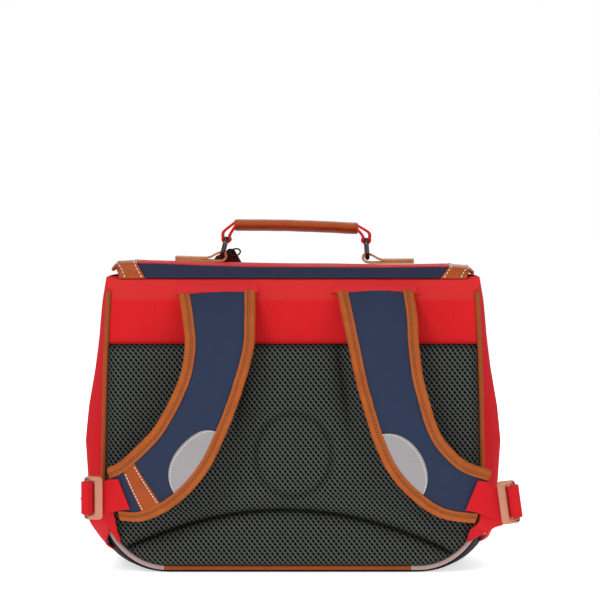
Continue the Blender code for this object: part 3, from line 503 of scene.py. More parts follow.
def makePiece(name, verts, faces, uvs, materials, faceSlots=None, sharp=50, slot=None, nodes=()):
    mesh = bpy.data.meshes.new(name)
    mesh.from_pydata([tuple(vert) for vert in verts], [], faces)
    layer = mesh.uv_layers.new(name="UVMap")
    flat = [0.0] * (2 * len(mesh.loops))
    place = 0
    for corners in uvs:
        for u, v in corners:
            flat[place] = u
            flat[place + 1] = v
            place += 2
    layer.data.foreach_set("uv", flat)
    for material in materials:
        mesh.materials.append(material)
    if faceSlots:
        mesh.polygons.foreach_set("material_index", faceSlots)
    work = bmesh.new()
    work.from_mesh(mesh)
    bmesh.ops.recalc_face_normals(work, faces=work.faces)
    work.to_mesh(mesh)
    work.free()
    mesh.shade_smooth()
    mesh.set_sharp_from_angle(angle=math.radians(sharp))
    mesh.update()
    item = bpy.data.objects.new(name, mesh)
    bpy.context.scene.collection.objects.link(item)
    settle(item, nodes)
    return item


def settle(item, nodes=()):
    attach(item, "root")
    if nodes:
        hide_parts(*nodes)


def quadBetween(row, following, count, index, other):
    # A face between two rows of equally many points
    return (row * count + index, row * count + other, following * count + other, following * count + index)


def rectangle(left, right, low, high):
    return ((left, low), (right, low), (right, high), (left, high))


def runAlong(points):
    # How far each point lies along a path
    run = [0.0]
    for near, far in zip(points, points[1:]):
        run.append(run[-1] + (far - near).length)
    return run


def slabRing(columns, pairAt):
    # A closed ring along a sheet's outer side and back along its inner one
    pairs = [pairAt(column / columns) for column in range(columns + 1)]
    return [outer for outer, inner in pairs] + [inner for outer, inner in reversed(pairs)]


# Keeps the painted shade of each point on the mesh, for its material to read
def storePaintedShade(item, values):
    paintedShade = item.data.attributes.new("paintedShade", "FLOAT", "POINT")
    paintedShade.data.foreach_set("value", values)


def loftPiece(name, rings, materials, slotOf=None, joinedEnds=False, capSlot=0, **rest):
    # Closed rings with equally many points, skinned one after another, with a map in metres
    count = len(rings[0])
    middle = rings[len(rings) // 2]
    around = runAlong(middle + middle[:1])
    samples = range(0, count, max(count // 8, 1))
    onward = [0.0]
    for near, far in zip(rings, rings[1:]):
        step = sum((far[index] - near[index]).length for index in samples)
        onward.append(onward[-1] + step / len(samples))
    verts = [point for ring in rings for point in ring]
    faces = []
    uvs = []
    slots = []
    total = len(rings)
    for row in range(total if joinedEnds else total - 1):
        following = (row + 1) % total
        low = onward[row]
        high = onward[row + 1] if row + 1 < total else onward[row] + 0.002
        for index in range(count):
            other = (index + 1) % count
            faces.append(quadBetween(row, following, count, index, other))
            uvs.append(rectangle(around[index], around[index + 1], low, high))
            slots.append(slotOf(row, index) if slotOf else 0)
    if not joinedEnds:
        for row in (0, total - 1):
            faces.append(tuple(row * count + index for index in range(count)))
            ring = rings[row]
            span = (ring[count // 2] - ring[0]).normalized()
            side = (ring[count // 4] - ring[0]).normalized()
            uvs.append(tuple(((point - ring[0]).dot(span), (point - ring[0]).dot(side)) for point in ring))
            slots.append(capSlot)
    return makePiece(name, verts, faces, uvs, materials, slots, **rest)


def smoothPath(points, each=6):
    # A smooth curve through every given point
    result = []
    last = len(points) - 1
    for index in range(last):
        before = points[max(index - 1, 0)]
        start = points[index]
        end = points[index + 1]
        after = points[min(index + 2, last)]
        for step in range(each):
            share = step / each
            square = share * share
            cube = square * share
            result.append(
                (start * 2 + (end - before) * share + (before * 2 - start * 5 + end * 4 - after) * square
                 + (start * 3 - before - end * 3 + after) * cube) * 0.5
            )
    result.append(points[last].copy())
    return result


def tubeRings(points, radius, sides=14, closed=False, flat=1.0):
    rings = []
    last = len(points) - 1
    normal = None
    for index, point in enumerate(points):
        before = points[index - 1] if index or closed else point
        after = points[(index + 1) % (last + 1)] if index < last or closed else point
        along = (after - before).normalized()
        if normal is None:
            normal = along.orthogonal().normalized()
        normal = (normal - along * normal.dot(along)).normalized()
        side = along.cross(normal)
        ring = []
        for step in range(sides):
            angle = 2 * math.pi * step / sides
            ring.append(point + normal * math.cos(angle) * radius + side * math.sin(angle) * radius * flat)
        rings.append(ring)
    return rings


def bandPiece(name, path, thickness, width, materials, edgeSlot=0, soft=0.0004, columns=8, **rest):
    # A strip seen edge-on along its path in X and Z, as wide as given along Y, with softened edges
    places = [-width / 2, -width / 2 + soft]
    places += [-width / 2 + soft + (width - 2 * soft) * step / columns for step in range(1, columns)]
    places += [width / 2 - soft, width / 2]
    rings = []
    for y in places:
        thick = thickness - (soft if abs(abs(y) - width / 2) < 1e-9 else 0.0)
        tops = []
        lows = []
        for index, point in enumerate(path):
            before = path[max(index - 1, 0)]
            after = path[min(index + 1, len(path) - 1)]
            along = (after - before).normalized()
            normal = Vector((-along.z, 0.0, along.x)) * thick / 2
            tops.append(Vector((point.x + normal.x, y + point.y, point.z + normal.z)))
            lows.append(Vector((point.x - normal.x, y + point.y, point.z - normal.z)))
        rings.append(tops + lows[::-1])
    count = len(path)
    verts = [point for ring in rings for point in ring]
    size = 2 * count
    along = runAlong(path)
    run = along + [along[-1] + thickness + along[-1] - value for value in along[::-1]]
    faces = []
    uvs = []
    slots = []
    for row in range(len(rings) - 1):
        for index in range(size):
            other = (index + 1) % size
            faces.append(quadBetween(row, row + 1, size, index, other))
            end = run[other] if other else run[index] + thickness
            near, far = places[row], places[row + 1]
            uvs.append(((near, run[index]), (near, end), (far, end), (far, run[index])))
            slots.append(edgeSlot if other == 0 or index == count - 1 or row in (0, len(rings) - 2) else 0)
    for row in (0, len(rings) - 1):
        for index in range(count - 1):
            low = size - 1 - index
            faces.append((row * size + index, row * size + index + 1, row * size + low - 1, row * size + low))
            near, far = along[index], along[index + 1]
            uvs.append(((0, near), (0, far), (thickness, far), (thickness, near)))
            slots.append(edgeSlot)
    return makePiece(name, verts, faces, uvs, materials, slots, **rest)


def ribbonPiece(name, stations, width, thickness, materials, each=6, **rest):
    # A flat strip through stations of a middle point, a direction across and a face normal
    points, acrosses, normals = (
        smoothPath([station[part] for station in stations], each) for part in range(3)
    )
    widths = width if callable(width) else (lambda share: width)
    thick = thickness / 2
    soft = 0.0004  # how far the edges are rounded
    rings = []
    for index, point in enumerate(points):
        across = acrosses[index].normalized()
        normal = (normals[index] - across * normals[index].dot(across)).normalized()
        half = widths(index / (len(points) - 1)) / 2
        inner = [half * (1 - 2 * step / 6) * 0.96 for step in range(1, 6)]
        section = [(half, 0), (half - soft, thick)] + [(x, thick) for x in inner]
        section += [(-half + soft, thick), (-half, 0), (-half + soft, -thick)]
        section += [(-x, -thick) for x in inner] + [(half - soft, -thick)]
        rings.append([point + across * x + normal * z for x, z in section])
    return loftPiece(name, rings, materials, **rest)


def stitchRow(name, path, normals, look, material, slot=None):
    # Small capsules of thread, one after another along a path
    length = look["length"]
    radius = look["width"] / 2
    shape = [(-0.5, 0.35), (-0.32, 1.0), (0.32, 1.0), (0.5, 0.35)]
    sides = 6
    verts = []
    faces = []
    uvs = []
    travelled = 0.0
    goal = look["pitch"] / 2
    for index in range(len(path) - 1):
        gap = (path[index + 1] - path[index]).length
        while gap > 0 and travelled + gap >= goal:
            share = (goal - travelled) / gap
            centre = path[index].lerp(path[index + 1], share)
            normal = normals[index].lerp(normals[index + 1], share).normalized()
            along = (path[index + 1] - path[index]).normalized()
            side = normal.cross(along).normalized()
            base = len(verts)
            for reach, swell in shape:
                for step in range(sides):
                    angle = 2 * math.pi * step / sides
                    verts.append(
                        centre + along * reach * length + side * math.cos(angle) * radius * swell
                        + normal * (math.sin(angle) * radius * swell + radius * look["sit"])
                    )
            for ring in range(3):
                for step in range(sides):
                    other = (step + 1) % sides
                    face = quadBetween(ring, ring + 1, sides, step, other)
                    faces.append(tuple(base + corner for corner in face))
                    uvs.append(rectangle(0, 0.001, 0, 0.001))
            for ring in (0, 3):
                faces.append(tuple(base + ring * sides + step for step in range(sides)))
                uvs.append(tuple((0, 0) for step in range(sides)))
            goal += look["pitch"]
        travelled += gap
    return makePiece(name, verts, faces, uvs, [material], slot=slot)


def rowAt(rows, place):
    # A table read between its rows along a smooth curve
    first = min(max(int(math.floor(place)), 0), len(rows) - 2)
    share = place - first
    before = rows[max(first - 1, 0)]
    start = rows[first]
    end = rows[first + 1]
    after = rows[min(first + 2, len(rows) - 1)]
    square = share * share
    cube = square * share
    result = {}
    for key in rows[0]:
        result[key] = (
            (2 * cube - 3 * square + 1) * start[key]
            + (cube - 2 * square + share) * (end[key] - before[key]) / 2
            + (3 * square - 2 * cube) * end[key] + (cube - square) * (after[key] - start[key]) / 2
        )
    return result


def easeStep(value, low, high):
    share = min(max((value - low) / (high - low), 0.0), 1.0)
    return share * share * (3 - 2 * share)


# Body: shell and tray

bulgeRows = [
    {"up": 0.00, "out": 0.78}, {"up": 0.05, "out": 0.68}, {"up": 0.10, "out": 0.66},
    {"up": 0.20, "out": 0.74}, {"up": 0.30, "out": 0.88}, {"up": 0.43, "out": 1.00},
    {"up": 0.55, "out": 0.86}, {"up": 0.68, "out": 0.62}, {"up": 0.80, "out": 0.46},
    {"up": 0.92, "out": 0.36}, {"up": 1.00, "out": 0.22},
]
shellLook = {
    "rows": 64, "sideSteps": 40, "frontSteps": 60, "edgeSteps": 5, "traySteps": 14,
    "fold": 0.0022, "foldFrom": 0.03, "foldTo": 0.16, "foldWidth": 0.16, "foldSway": 0.08,
    "frontSwell": 0.004, "wrinkle": 0.0006, "frontPlainFrom": 0.27,
}


def panelHalfWidth(height, inset=0.0, seat=0.0):
    # A wide round lower corner, then a side that leans in slightly
    rise = body["cornerRise"]
    if height < rise:
        drop = min((rise - height) / (rise - inset - seat), 1.0)
        power = body["cornerPower"]
        reach = (body["cornerReach"] - inset) * (1 - drop**power) ** (1 / power)
        return body["halfWidth"] - body["cornerReach"] + reach
    share = (height - rise) / (body["height"] - rise)
    return body["halfWidth"] - inset - body["topTaper"] * share**2


def seamHalfWidth(height, inset):
    # The seam round a lower corner lies further in than the edge of the tray
    half = panelHalfWidth(height, inset, body["pipeSeat"])
    rise = body["seamRise"]
    if height >= rise:
        return half
    drop = min((rise - height) / (rise - inset - body["pipeSeat"]), 1.0)
    reach = (body["seamReach"] - inset) * math.sqrt(1 - drop**2)
    return min(half, body["halfWidth"] - body["seamReach"] + reach)


def gussetOut(height):
    share = height / body["height"]
    for low, high in zip(bulgeRows, bulgeRows[1:]):
        if share <= high["up"]:
            part = (share - low["up"]) / (high["up"] - low["up"])
            return body["bulge"] * (low["out"] + (high["out"] - low["out"]) * part)
    return body["bulge"] * bulgeRows[-1]["out"]


def bodyRing(height, inset=0.0, soft=1.0):
    # Rear edge, round corner, gusset with a soft pleat down its middle, front corner and front
    half = panelHalfWidth(height, inset)
    depth = body["depth"] / 2 - inset
    edge = body["edge"]
    upper = easeStep(height, shellLook["foldFrom"], shellLook["foldTo"])
    corner = shellLook["edgeSteps"]
    angles = [math.pi / 2 * step / corner for step in range(corner + 1)]
    side = [(half - edge + edge * math.sin(angle),
             -depth + edge - edge * math.cos(angle)) for angle in angles[:-1]]
    steps = shellLook["sideSteps"]
    for step in range(steps + 1):
        share = -1 + 2 * step / steps
        y = share * (depth - edge)
        reach = gussetOut(height) * (1 - share**2)
        sway = shellLook["foldSway"] * math.sin(height * 17)
        pleat = shellLook["fold"] * upper * math.exp(-((share - sway) / shellLook["foldWidth"]) ** 2)
        wave = shellLook["wrinkle"] * noise.noise(Vector((height * 14, y * 45, 3.1))) * (1 - share**4)
        side.append((half + reach - (pleat - wave * 2) * soft, y))
    side += [(half - edge + edge * math.cos(angle),
              depth - edge + edge * math.sin(angle)) for angle in angles[1:]]
    count = shellLook["frontSteps"]
    front = []
    rear = []
    for step in range(1, count):
        share = 1 - 2 * step / count
        x = (half - edge) * share
        wave = shellLook["wrinkle"] * noise.noise(Vector((x * 22, height * 30, 7.7)))
        swell = shellLook["frontSwell"] * (1 - share**2) * easeStep(height, 0.0, 0.06)
        waved = 0.0 if height > shellLook["frontPlainFrom"] else 0.4
        front.append((x, depth + (swell + wave) * soft * waved))
        rear.append((-x, -depth))
    points = side + front + [(-x, y) for x, y in reversed(side)] + rear
    return [Vector((x, y, height)) for x, y in points]


def makeShell():
    low = body["trayHeight"] + body["gap"]
    rows = shellLook["rows"]
    heights = [low + (body["height"] - low) * step / rows for step in range(rows + 1)]
    rings = [bodyRing(height) for height in heights]
    rings += [bodyRing(height, body["wall"]) for height in reversed(heights[::4])]
    loftPiece("bodyShell", rings, [finish["redGusset"]], joinedEnds=True, slot="red_fabric",
              nodes=["body_shell"])
    steps = shellLook["traySteps"]
    shares = [1 - math.cos(math.pi / 2 * step / steps) for step in range(steps + 1)]
    wall = body["wall"]
    lows = [wall + (body["trayHeight"] - wall) * share for share in shares[:-1:3]] + [body["trayHeight"]]
    rings = [bodyRing(body["trayHeight"] * share, soft=0.0) for share in shares]
    rings += [bodyRing(height, wall, 0.0) for height in reversed(lows)]
    loftPiece("baseTray", rings, [finish["blackBase"]], slot="black_fabric", nodes=["base_tray"])
    print("shell and tray made")


# Back pad

padLook = {
    "columns": 300, "rows": 188, "edge": 0.0045, "puff": 0.0062, "softSide": 0.018, "softEnd": 0.013,
    "wideGroove": 0.0085, "wideDepth": 0.0028, "narrowGroove": 0.0017, "narrowDepth": 0.0030, "lump": 0.0005,
    "rimMap": 0.004, "crowd": 0.08, "crowdStart": 0.0157, "crowdSpan": 0.9686, "crowdSide": 0.25,
    "valley": {"depth": 0.0042, "width": 0.010, "crease": 0.0016, "creaseWidth": 0.0028, "from": 0.52,
               "to": 0.80, "start": 0.045, "slope": 0.14, "curve": 0.10, "curveFrom": 0.05},
    "motif": {"x": 0.0008, "z": 0.118, "wide": 0.038, "high": 0.041, "groove": 0.0026, "depth": 0.0026,
              "swell": 0.0012, "hazeDepth": 0.0009, "hazeWidth": 0.008},
    # Painted shade: a dark line and haze along the arch, more in the hollows, at the sides and a painted
    # shadow under the band
    "dark": {"line": 0.85, "haze": 0.25, "hazeWidth": 0.0075, "deep": 0.5, "deepFrom": 0.001,
             "deepSpan": 0.0055, "side": 0.35, "sideWidth": 0.012, "under": 0.55, "underWidth": 0.007},
}
archShape = {"middle": -0.009, "top": 0.0625, "bend": 1.55, "start": 0.152, "end": 0.172}


def archHeight(x):
    return archShape["top"] - archShape["bend"] * (x - archShape["middle"]) ** 2


def archDistance(x, z):
    slope = 2 * archShape["bend"] * (x - archShape["middle"])
    return abs(z - archHeight(x)) / math.sqrt(1 + slope**2)


def archEnding(x):
    return 1 - easeStep(abs(x - archShape["middle"] / 2), archShape["start"], archShape["end"])


def bell(distance, width):
    return math.exp(-((distance / width) ** 2))


def padRelief(x, z):
    # How deep the pad's face is pressed in: arch, valleys beside the middle, and a plain oval in the middle
    look = padLook
    distance = archDistance(x, z)
    arch = look["wideDepth"] * bell(distance, look["wideGroove"])
    arch += look["narrowDepth"] * bell(distance, look["narrowGroove"])
    fold = look["valley"]
    below = body["padHeight"] - z
    line = fold["start"] + fold["slope"] * below + fold["curve"] * max(below - fold["curveFrom"], 0.0) ** 1.3
    valley = fold["depth"] * bell(abs(x) - line, fold["width"])
    valley += fold["crease"] * bell(abs(x) - line, fold["creaseWidth"])
    valley *= easeStep(z / body["padHeight"], fold["from"], fold["to"])
    motif = look["motif"]
    away = math.hypot((x - motif["x"]) / motif["wide"], (z - motif["z"]) / motif["high"])
    rim = (away - 1) * (motif["wide"] + motif["high"]) / 2
    oval = motif["depth"] * bell(rim, motif["groove"]) + motif["hazeDepth"] * bell(rim, motif["hazeWidth"])
    oval -= motif["swell"] * (1 - easeStep(away, 0.3, 0.95))
    return arch * archEnding(x) + valley + oval


def padPaintedShade(x, z):
    # Painted shade on the mesh: a dark line with a haze along the arch groove, more where the face is pressed
    # in and where it turns down to its seams, and a painted shadow under the band
    dark = padLook["dark"]
    distance = archDistance(x, z)
    arch = dark["line"] * bell(distance, padLook["narrowGroove"])
    arch += dark["haze"] * bell(distance, dark["hazeWidth"])
    deep = min(max(padRelief(x, z) - dark["deepFrom"], 0.0) / dark["deepSpan"], 1.0)
    half = seamHalfWidth(z, body["pipe"] + body["gap"])
    edge = dark["side"] * (1 - easeStep(half - abs(x), 0.0, dark["sideWidth"]))
    under = dark["under"] * easeStep(z, body["padHeight"] - dark["underWidth"], body["padHeight"])
    return min(arch * archEnding(x) + dark["deep"] * deep + edge + under, 1.0)


def padFace(x, z):
    look = padLook
    half = seamHalfWidth(z, body["pipe"] + body["gap"])
    fullness = 1.0
    for room, soft in (
        (half - abs(x), look["softSide"]), (z - body["pipeSeat"] - body["pipe"], look["softEnd"]),
        (body["padHeight"] - z, look["softEnd"]),
    ):
        fullness *= math.sqrt(1 - (1 - min(max(room, 0.0) / soft, 1.0)) ** 2)
    lump = look["lump"] * noise.noise(Vector((x * 28, z * 28, 1.7)))
    return rearFace - look["edge"] - look["puff"] * fullness + (padRelief(x, z) + lump) * fullness


def makePad():
    look = padLook
    columns = look["columns"]
    rows = look["rows"]
    low = body["pipeSeat"] + body["pipe"] + 2 * body["gap"]
    grid = []
    for row in range(rows + 1):
        turn = math.pi * (look["crowd"] + (1 - 2 * look["crowd"]) * row / rows)
        share = (0.5 - 0.5 * math.cos(turn) - look["crowdStart"]) / look["crowdSpan"]
        z = min(max(low + (body["padHeight"] - low) * share, low), body["padHeight"])
        half = seamHalfWidth(z, body["pipe"] + body["gap"])
        line = []
        for column in range(columns + 1):
            part = 2 * column / columns - 1
            x = half * ((1 - look["crowdSide"]) * part + look["crowdSide"] * math.sin(part * math.pi / 2))
            line.append(Vector((x, padFace(x, z), z)))
        grid.append(line)
    verts = [point for line in grid for point in line]
    width = columns + 1
    acrossLengths = []
    for line in grid:
        run = runAlong(line)
        acrossLengths.append([value - run[columns // 2] for value in run])
    upLengths = runAlong([line[columns // 2] for line in grid])
    faces = []
    uvs = []
    for row in range(rows):
        near, far = acrossLengths[row], acrossLengths[row + 1]
        low, high = upLengths[row], upLengths[row + 1]
        for column in range(columns):
            faces.append(quadBetween(row, row + 1, width, column, column + 1))
            uvs.append(((near[column], low), (near[column + 1], low), (far[column + 1], high),
                        (far[column], high)))
    rim = list(range(width)) + [(row + 1) * width - 1 for row in range(1, rows + 1)]
    rim += [rows * width + column for column in range(columns - 1, -1, -1)]
    rim += [row * width for row in range(rows - 1, 0, -1)]
    base = len(verts)
    verts += [Vector((verts[index].x, rearFace, verts[index].z)) for index in rim]
    total = len(rim)
    for index in range(total):
        other = (index + 1) % total
        faces.append((rim[index], rim[other], base + other, base + index))
        at = verts[rim[index]]
        on = verts[rim[other]]
        uvs.append(((at.x, at.z), (on.x, on.z), (on.x, on.z + look["rimMap"]), (at.x, at.z + look["rimMap"])))
    faces.append(tuple(range(base, base + total)))
    uvs.append(tuple((verts[index].x, verts[index].z) for index in range(base, base + total)))
    pad = makePiece("backPad", verts, faces, uvs, [finish["airMesh"]], sharp=70, slot="air_mesh",
                    nodes=["back_pad"])
    # The mesh's painted shade, kept on its points
    storePaintedShade(pad, [padPaintedShade(vert.x, vert.z) for vert in verts])
    print("back pad made")


# Band, hem and piping

bandLook = {
    "ribPitch": 0.0020, "ribHeight": 0.00055, "ribTurn": 0.3, "each": 4, "rows": 12, "wave": 0.0005,
    "plain": 0.2708, "plainRows": 3, "fade": 0.0024, "swell": 0.0007, "lowEdge": 0.0006,
}
hemLook = {
    "rows": 18, "columns": 220, "thick": 0.004, "edgeThick": 0.0014, "low": 0.2772, "back": 0.0006,
    "sunk": 0.16, "rise": 0.17, "over": 0.0046, "ear": 0.0020, "earFrom": 0.93, "earTo": 0.985,
    "roll": 0.14, "crest": 0.16, "sag": 0.0016, "pucker": 0.0004, "finePucker": 0.0003,
}
strapTops = [{"inner": -0.035, "outer": -0.113}, {"inner": 0.0405, "outer": 0.1215}]


def makeBand():
    ribs = int(2 * (body["halfWidth"] - body["pipe"]) / bandLook["ribPitch"])
    columns = ribs * bandLook["each"]
    low = body["padHeight"] + body["gap"]
    high = body["height"] - body["hemHeight"] - body["gap"]
    plain = bandLook["plain"]
    heights = [low + (plain - low) * row / bandLook["rows"] for row in range(bandLook["rows"] + 1)]
    plainRows = bandLook["plainRows"]
    heights += [plain + (high - plain) * row / plainRows for row in range(1, plainRows + 1)]
    rings = []
    for row, z in enumerate(heights):
        half = panelHalfWidth(z) - body["pipe"] - body["gap"]
        fade = 1 - easeStep(z, plain - bandLook["fade"], plain) if z < plain else 0.0
        swell = bandLook["swell"] * math.sin(math.pi * (z - low) / (high - low))
        front = []
        for column in range(columns + 1):
            x = half * (2 * column / columns - 1)
            rib = abs(math.sin(math.pi * column / bandLook["each"] + bandLook["ribTurn"]))
            rib *= bandLook["ribHeight"] * fade
            wave = bandLook["wave"] * noise.noise(Vector((x * 20, z * 30, 5.0))) * fade
            drop = bandLook["lowEdge"] * (row == 0)
            front.append(Vector((x, rearFace - body["bandThick"] - rib - wave - swell + drop, z)))
        rings.append(front + [Vector((half, rearFace, z)), Vector((-half, rearFace, z))])
    loftPiece(
        "ribbedBand", rings, [finish["ribbedBand"], finish["redFabric"]],
        slotOf=lambda row, index: 1 if row >= bandLook["rows"] else 0, capSlot=1,
        slot="red_ribbed_fabric", nodes=["top_band"],
    )


def hemOver(x):
    # The hem lies over the strap tops that are sewn in under it
    result = 0.0
    for top in strapTops:
        low, high = sorted((top["inner"], top["outer"]))
        start = easeStep(x, low - 0.004, low + 0.001)
        result = max(result, start * (1 - easeStep(x, high - 0.001, high + 0.004)))
    return result


def hemDrop(x):
    # The hem's lower edge sags a little at the outer side of the left strap
    return hemLook["low"] - hemLook["sag"] * easeStep(x, -0.090, -0.108) * (-0.125 < x < 0)


def makeHem():
    look = hemLook
    rows = look["rows"]
    rings = []
    for row in range(rows + 1):
        share = row / rows
        rolled = math.sqrt(1 - (1 - min(share / look["roll"], 1.0)) ** 2)
        flush = look["sunk"] + look["rise"] * easeStep(share, 0.0, look["roll"])
        flush += (1 - look["rise"] - look["sunk"]) * easeStep(share, 0.10, 0.8)
        crest = math.sqrt(1 - (1 - min((1 - share) / look["crest"], 1.0)) ** 2)
        calm = easeStep(share, 0.10, 0.35)
        ring = []
        for column in range(look["columns"] + 1):
            part = 2 * column / look["columns"] - 1
            low = hemDrop(part * body["halfWidth"])
            ear = look["ear"] * easeStep(abs(part), look["earFrom"], look["earTo"])
            z = low + (body["height"] + ear - low) * share
            x = panelHalfWidth(min(z, body["height"])) * part
            lapped = hemOver(x)
            thick = (look["thick"] - look["edgeThick"]) * (flush + (rolled - flush) * lapped) * crest
            over = look["over"] * lapped * (1 - easeStep(share, 0.15, 0.95))
            pucker = look["pucker"] * noise.noise(Vector((x * 60, z * 40, 9.0)))
            pucker += look["finePucker"] * noise.noise(Vector((x * 160, z * 90, 2.0)))
            ring.append(Vector((x, rearFace - look["edgeThick"] - thick - over - pucker * calm, z)))
        ring += [Vector((end.x, rearFace + look["back"], end.z)) for end in (ring[-1], ring[0])]
        rings.append(ring)
    loftPiece("topHem", rings, [finish["redFabric"]], slot="red_fabric", nodes=["top_hem"])


pipingLook = {"top": 0.045, "inner": {"left": 0.1277, "right": 0.1171}, "radius": 0.0026, "steps": 60}


def pipingHeight(x):
    # Height of the piping's middle line along the base and round its corners
    low = body["pipeSeat"] + body["pipe"] / 2
    out = abs(x) - (body["halfWidth"] - body["seamReach"])
    share = min(max(out, 0.0) / (body["seamReach"] - body["pipe"] / 2), 1.0)
    return body["seamRise"] - math.sqrt(1 - share**2) * (body["seamRise"] - low)


def sidePath(sign):
    inset = body["pipe"] / 2
    top = body["height"] - body["hemHeight"] - body["gap"]
    low = pipingLook["top"] + body["gap"]
    steps = 2 * pipingLook["steps"]
    heights = [top + (low - top) * step / steps for step in range(steps + 1)]
    return [Vector((sign * seamHalfWidth(z, inset), rearFace - inset, z)) for z in heights]


def cornerPath(side, sign):
    # Round the corner by equal turns, as far as the join with the brown piping of the base
    inset = body["pipe"] / 2
    inner = pipingLook["inner"][side]
    start = seamHalfWidth(pipingLook["top"], inset)
    steps = pipingLook["steps"]
    result = []
    for step in range(steps + 1):
        x = inner + (start - inner) * math.cos(math.pi / 2 * step / steps)
        result.append(Vector((sign * x, rearFace - inset, pipingHeight(x))))
    return result


def makePiping():
    def makeRun(name, path, radius, material, slot, node):
        loftPiece(name, tubeRings(path, radius, 16), [finish[material]], slot=slot, nodes=[node])

    radius = pipingLook["radius"]
    for side, sign in sideSign.items():
        title = side.title()
        makeRun("sidePiping" + title, sidePath(sign), radius, "brownPiping", "brown_binding",
                "side_piping_" + side)
        path = cornerPath(side, sign)
        makeRun("cornerPiping" + title, path, radius, "silverPiping", "reflective_trim",
                "corner_piping_" + side)
    start = body["gap"] - pipingLook["inner"]["left"]
    end = pipingLook["inner"]["right"] - body["gap"]
    steps = 2 * pipingLook["steps"]
    places = [start + (end - start) * step / steps for step in range(steps + 1)]
    path = [Vector((x, rearFace - body["pipe"] / 2, pipingHeight(x))) for x in places]
    makeRun("bottomPiping", path, radius - 0.0001, "brownPiping", "brown_binding", "bottom_piping")
    print("band, hem and piping made")


# Flap

flapLook = {
    "thick": 0.0025, "endThick": 0.55, "rise": 0.0145, "sag": 0.003, "tilt": 0.012, "foot": 0.075,
    "clear": 0.002,
    "seam": 0.0009, "samples": 151, "hinge": 0.2, "columns": 72, "wave": 0.0011,
    "borderThick": 0.0030, "borderSteps": 14, "borderSoft": 0.0007,
    "droop": {"left": 0.0052, "right": 0.0044}, "lean": 0.0028, "droopFrom": 0.004, "droopTo": 0.013,
}
flapRows = [
    {"along": -1.06, "rise": 0.02, "inner": 0.766, "outer": 0.900},
    {"along": -1.04, "rise": 0.60, "inner": 0.792, "outer": 0.918},
    {"along": -0.98, "rise": 0.98, "inner": 0.810, "outer": 0.940},
    {"along": -0.70, "rise": 1.10, "inner": 0.815, "outer": 0.950},
    {"along": -0.20, "rise": 1.08, "inner": 0.815, "outer": 0.955},
    {"along": 0.35, "rise": 0.98, "inner": 0.815, "outer": 0.957},
    {"along": 0.85, "rise": 0.72, "inner": 0.815, "outer": 0.960},
    {"along": 1.08, "rise": 0.10, "inner": 0.820, "outer": 0.964},
    {"along": 1.12, "rise": -0.08, "inner": 0.825, "outer": 0.966},
    {"along": 1.13, "rise": -0.50, "inner": 0.830, "outer": 0.970},
    {"along": 1.12, "rise": -1.00, "inner": 0.825, "outer": 0.964},
]
borderStitch = {"pitch": 0.0040, "length": 0.0028, "width": 0.0008, "sit": 0.5}


def flapSide():
    drop = body["height"] - flapLook["foot"]
    result = []
    for step in range(flapLook["samples"]):
        row = rowAt(flapRows, step / (flapLook["samples"] - 1) * (len(flapRows) - 1))
        y = row["along"] * (body["depth"] / 2 + flapLook["clear"])
        rise = row["rise"]
        z = body["height"] + (rise * flapLook["rise"] if rise > 0 else rise * drop) + body["gap"]
        result.append((y, z, row["inner"] * body["halfWidth"], row["outer"] * body["halfWidth"]))
    return result


flapLine = flapSide()


def flapSink(x, z):
    if z < body["height"] + body["gap"]:
        return 0.0
    share = min((z - body["height"]) / flapLook["rise"], 1.0)
    return share * (flapLook["sag"] * (1 - (x / body["halfWidth"]) ** 2) + flapLook["tilt"] * x)


def flapNormal(index):
    before = flapLine[max(index - 1, 0)]
    after = flapLine[min(index + 1, len(flapLine) - 1)]
    along = Vector((after[0] - before[0], after[1] - before[1])).normalized()
    return Vector((0.0, -along.y, along.x))


def flapTop(x, y):
    # Height of the flap's outer face over a place on its top
    for near, far in zip(flapLine, flapLine[1:]):
        if near[0] <= y <= far[0] and near[1] > body["height"]:
            z = near[1] + (far[1] - near[1]) * (y - near[0]) / (far[0] - near[0])
            return z - flapSink(x, z)
    return body["height"] + flapLook["rise"]


def flapPoint(index, x, lift):
    y, z = flapLine[index][:2]
    return Vector((x, y, z - flapSink(x, z))) + flapNormal(index) * lift


def clothLift(index, x):
    # Soft waves of the cloth, still at its seams and smaller near its foot
    z = flapLine[index][1]
    calm = 1 - easeStep(abs(x) / body["halfWidth"], 0.70, 0.80)
    size = flapLook["wave"] * calm * min(index / 8, 1.0) * (1.0 if z > body["height"] - 0.2 else 0.5)
    return size * noise.noise(Vector((x * 14, index * 0.05, 4.0)))


def makeFlapCloth(name, first, last, material, slot, node):
    thick = flapLook["thick"]
    rings = []
    for index in range(first, last + 1):
        inner = flapLine[index][2] - flapLook["seam"]
        edge = thick * (flapLook["endThick"] if index in (first, last) else 1.0)

        def pairAt(share):
            x = inner * (2 * share - 1)
            top = clothLift(index, x) - (thick - edge) / 2
            return flapPoint(index, x, top), flapPoint(index, x, top - edge)

        rings.append(slabRing(flapLook["columns"], pairAt))
    loftPiece(name, rings, [finish[material]], slot=slot, nodes=[node])


def borderPlace(index, share, side):
    inner, outer = flapLine[index][2:]
    return sideSign[side] * (inner + (outer - inner) * share)


def borderLift(index, share, side):
    # The leather droops towards its outer edge where it goes over the top
    top = body["height"]
    over = easeStep(flapLine[index][1], top + flapLook["droopFrom"], top + flapLook["droopTo"])
    base = (flapLook["borderThick"] - flapLook["thick"]) / 2
    return base - over * (flapLook["droop"][side] * easeStep(share, 0.74, 1.02) + flapLook["lean"] * share)


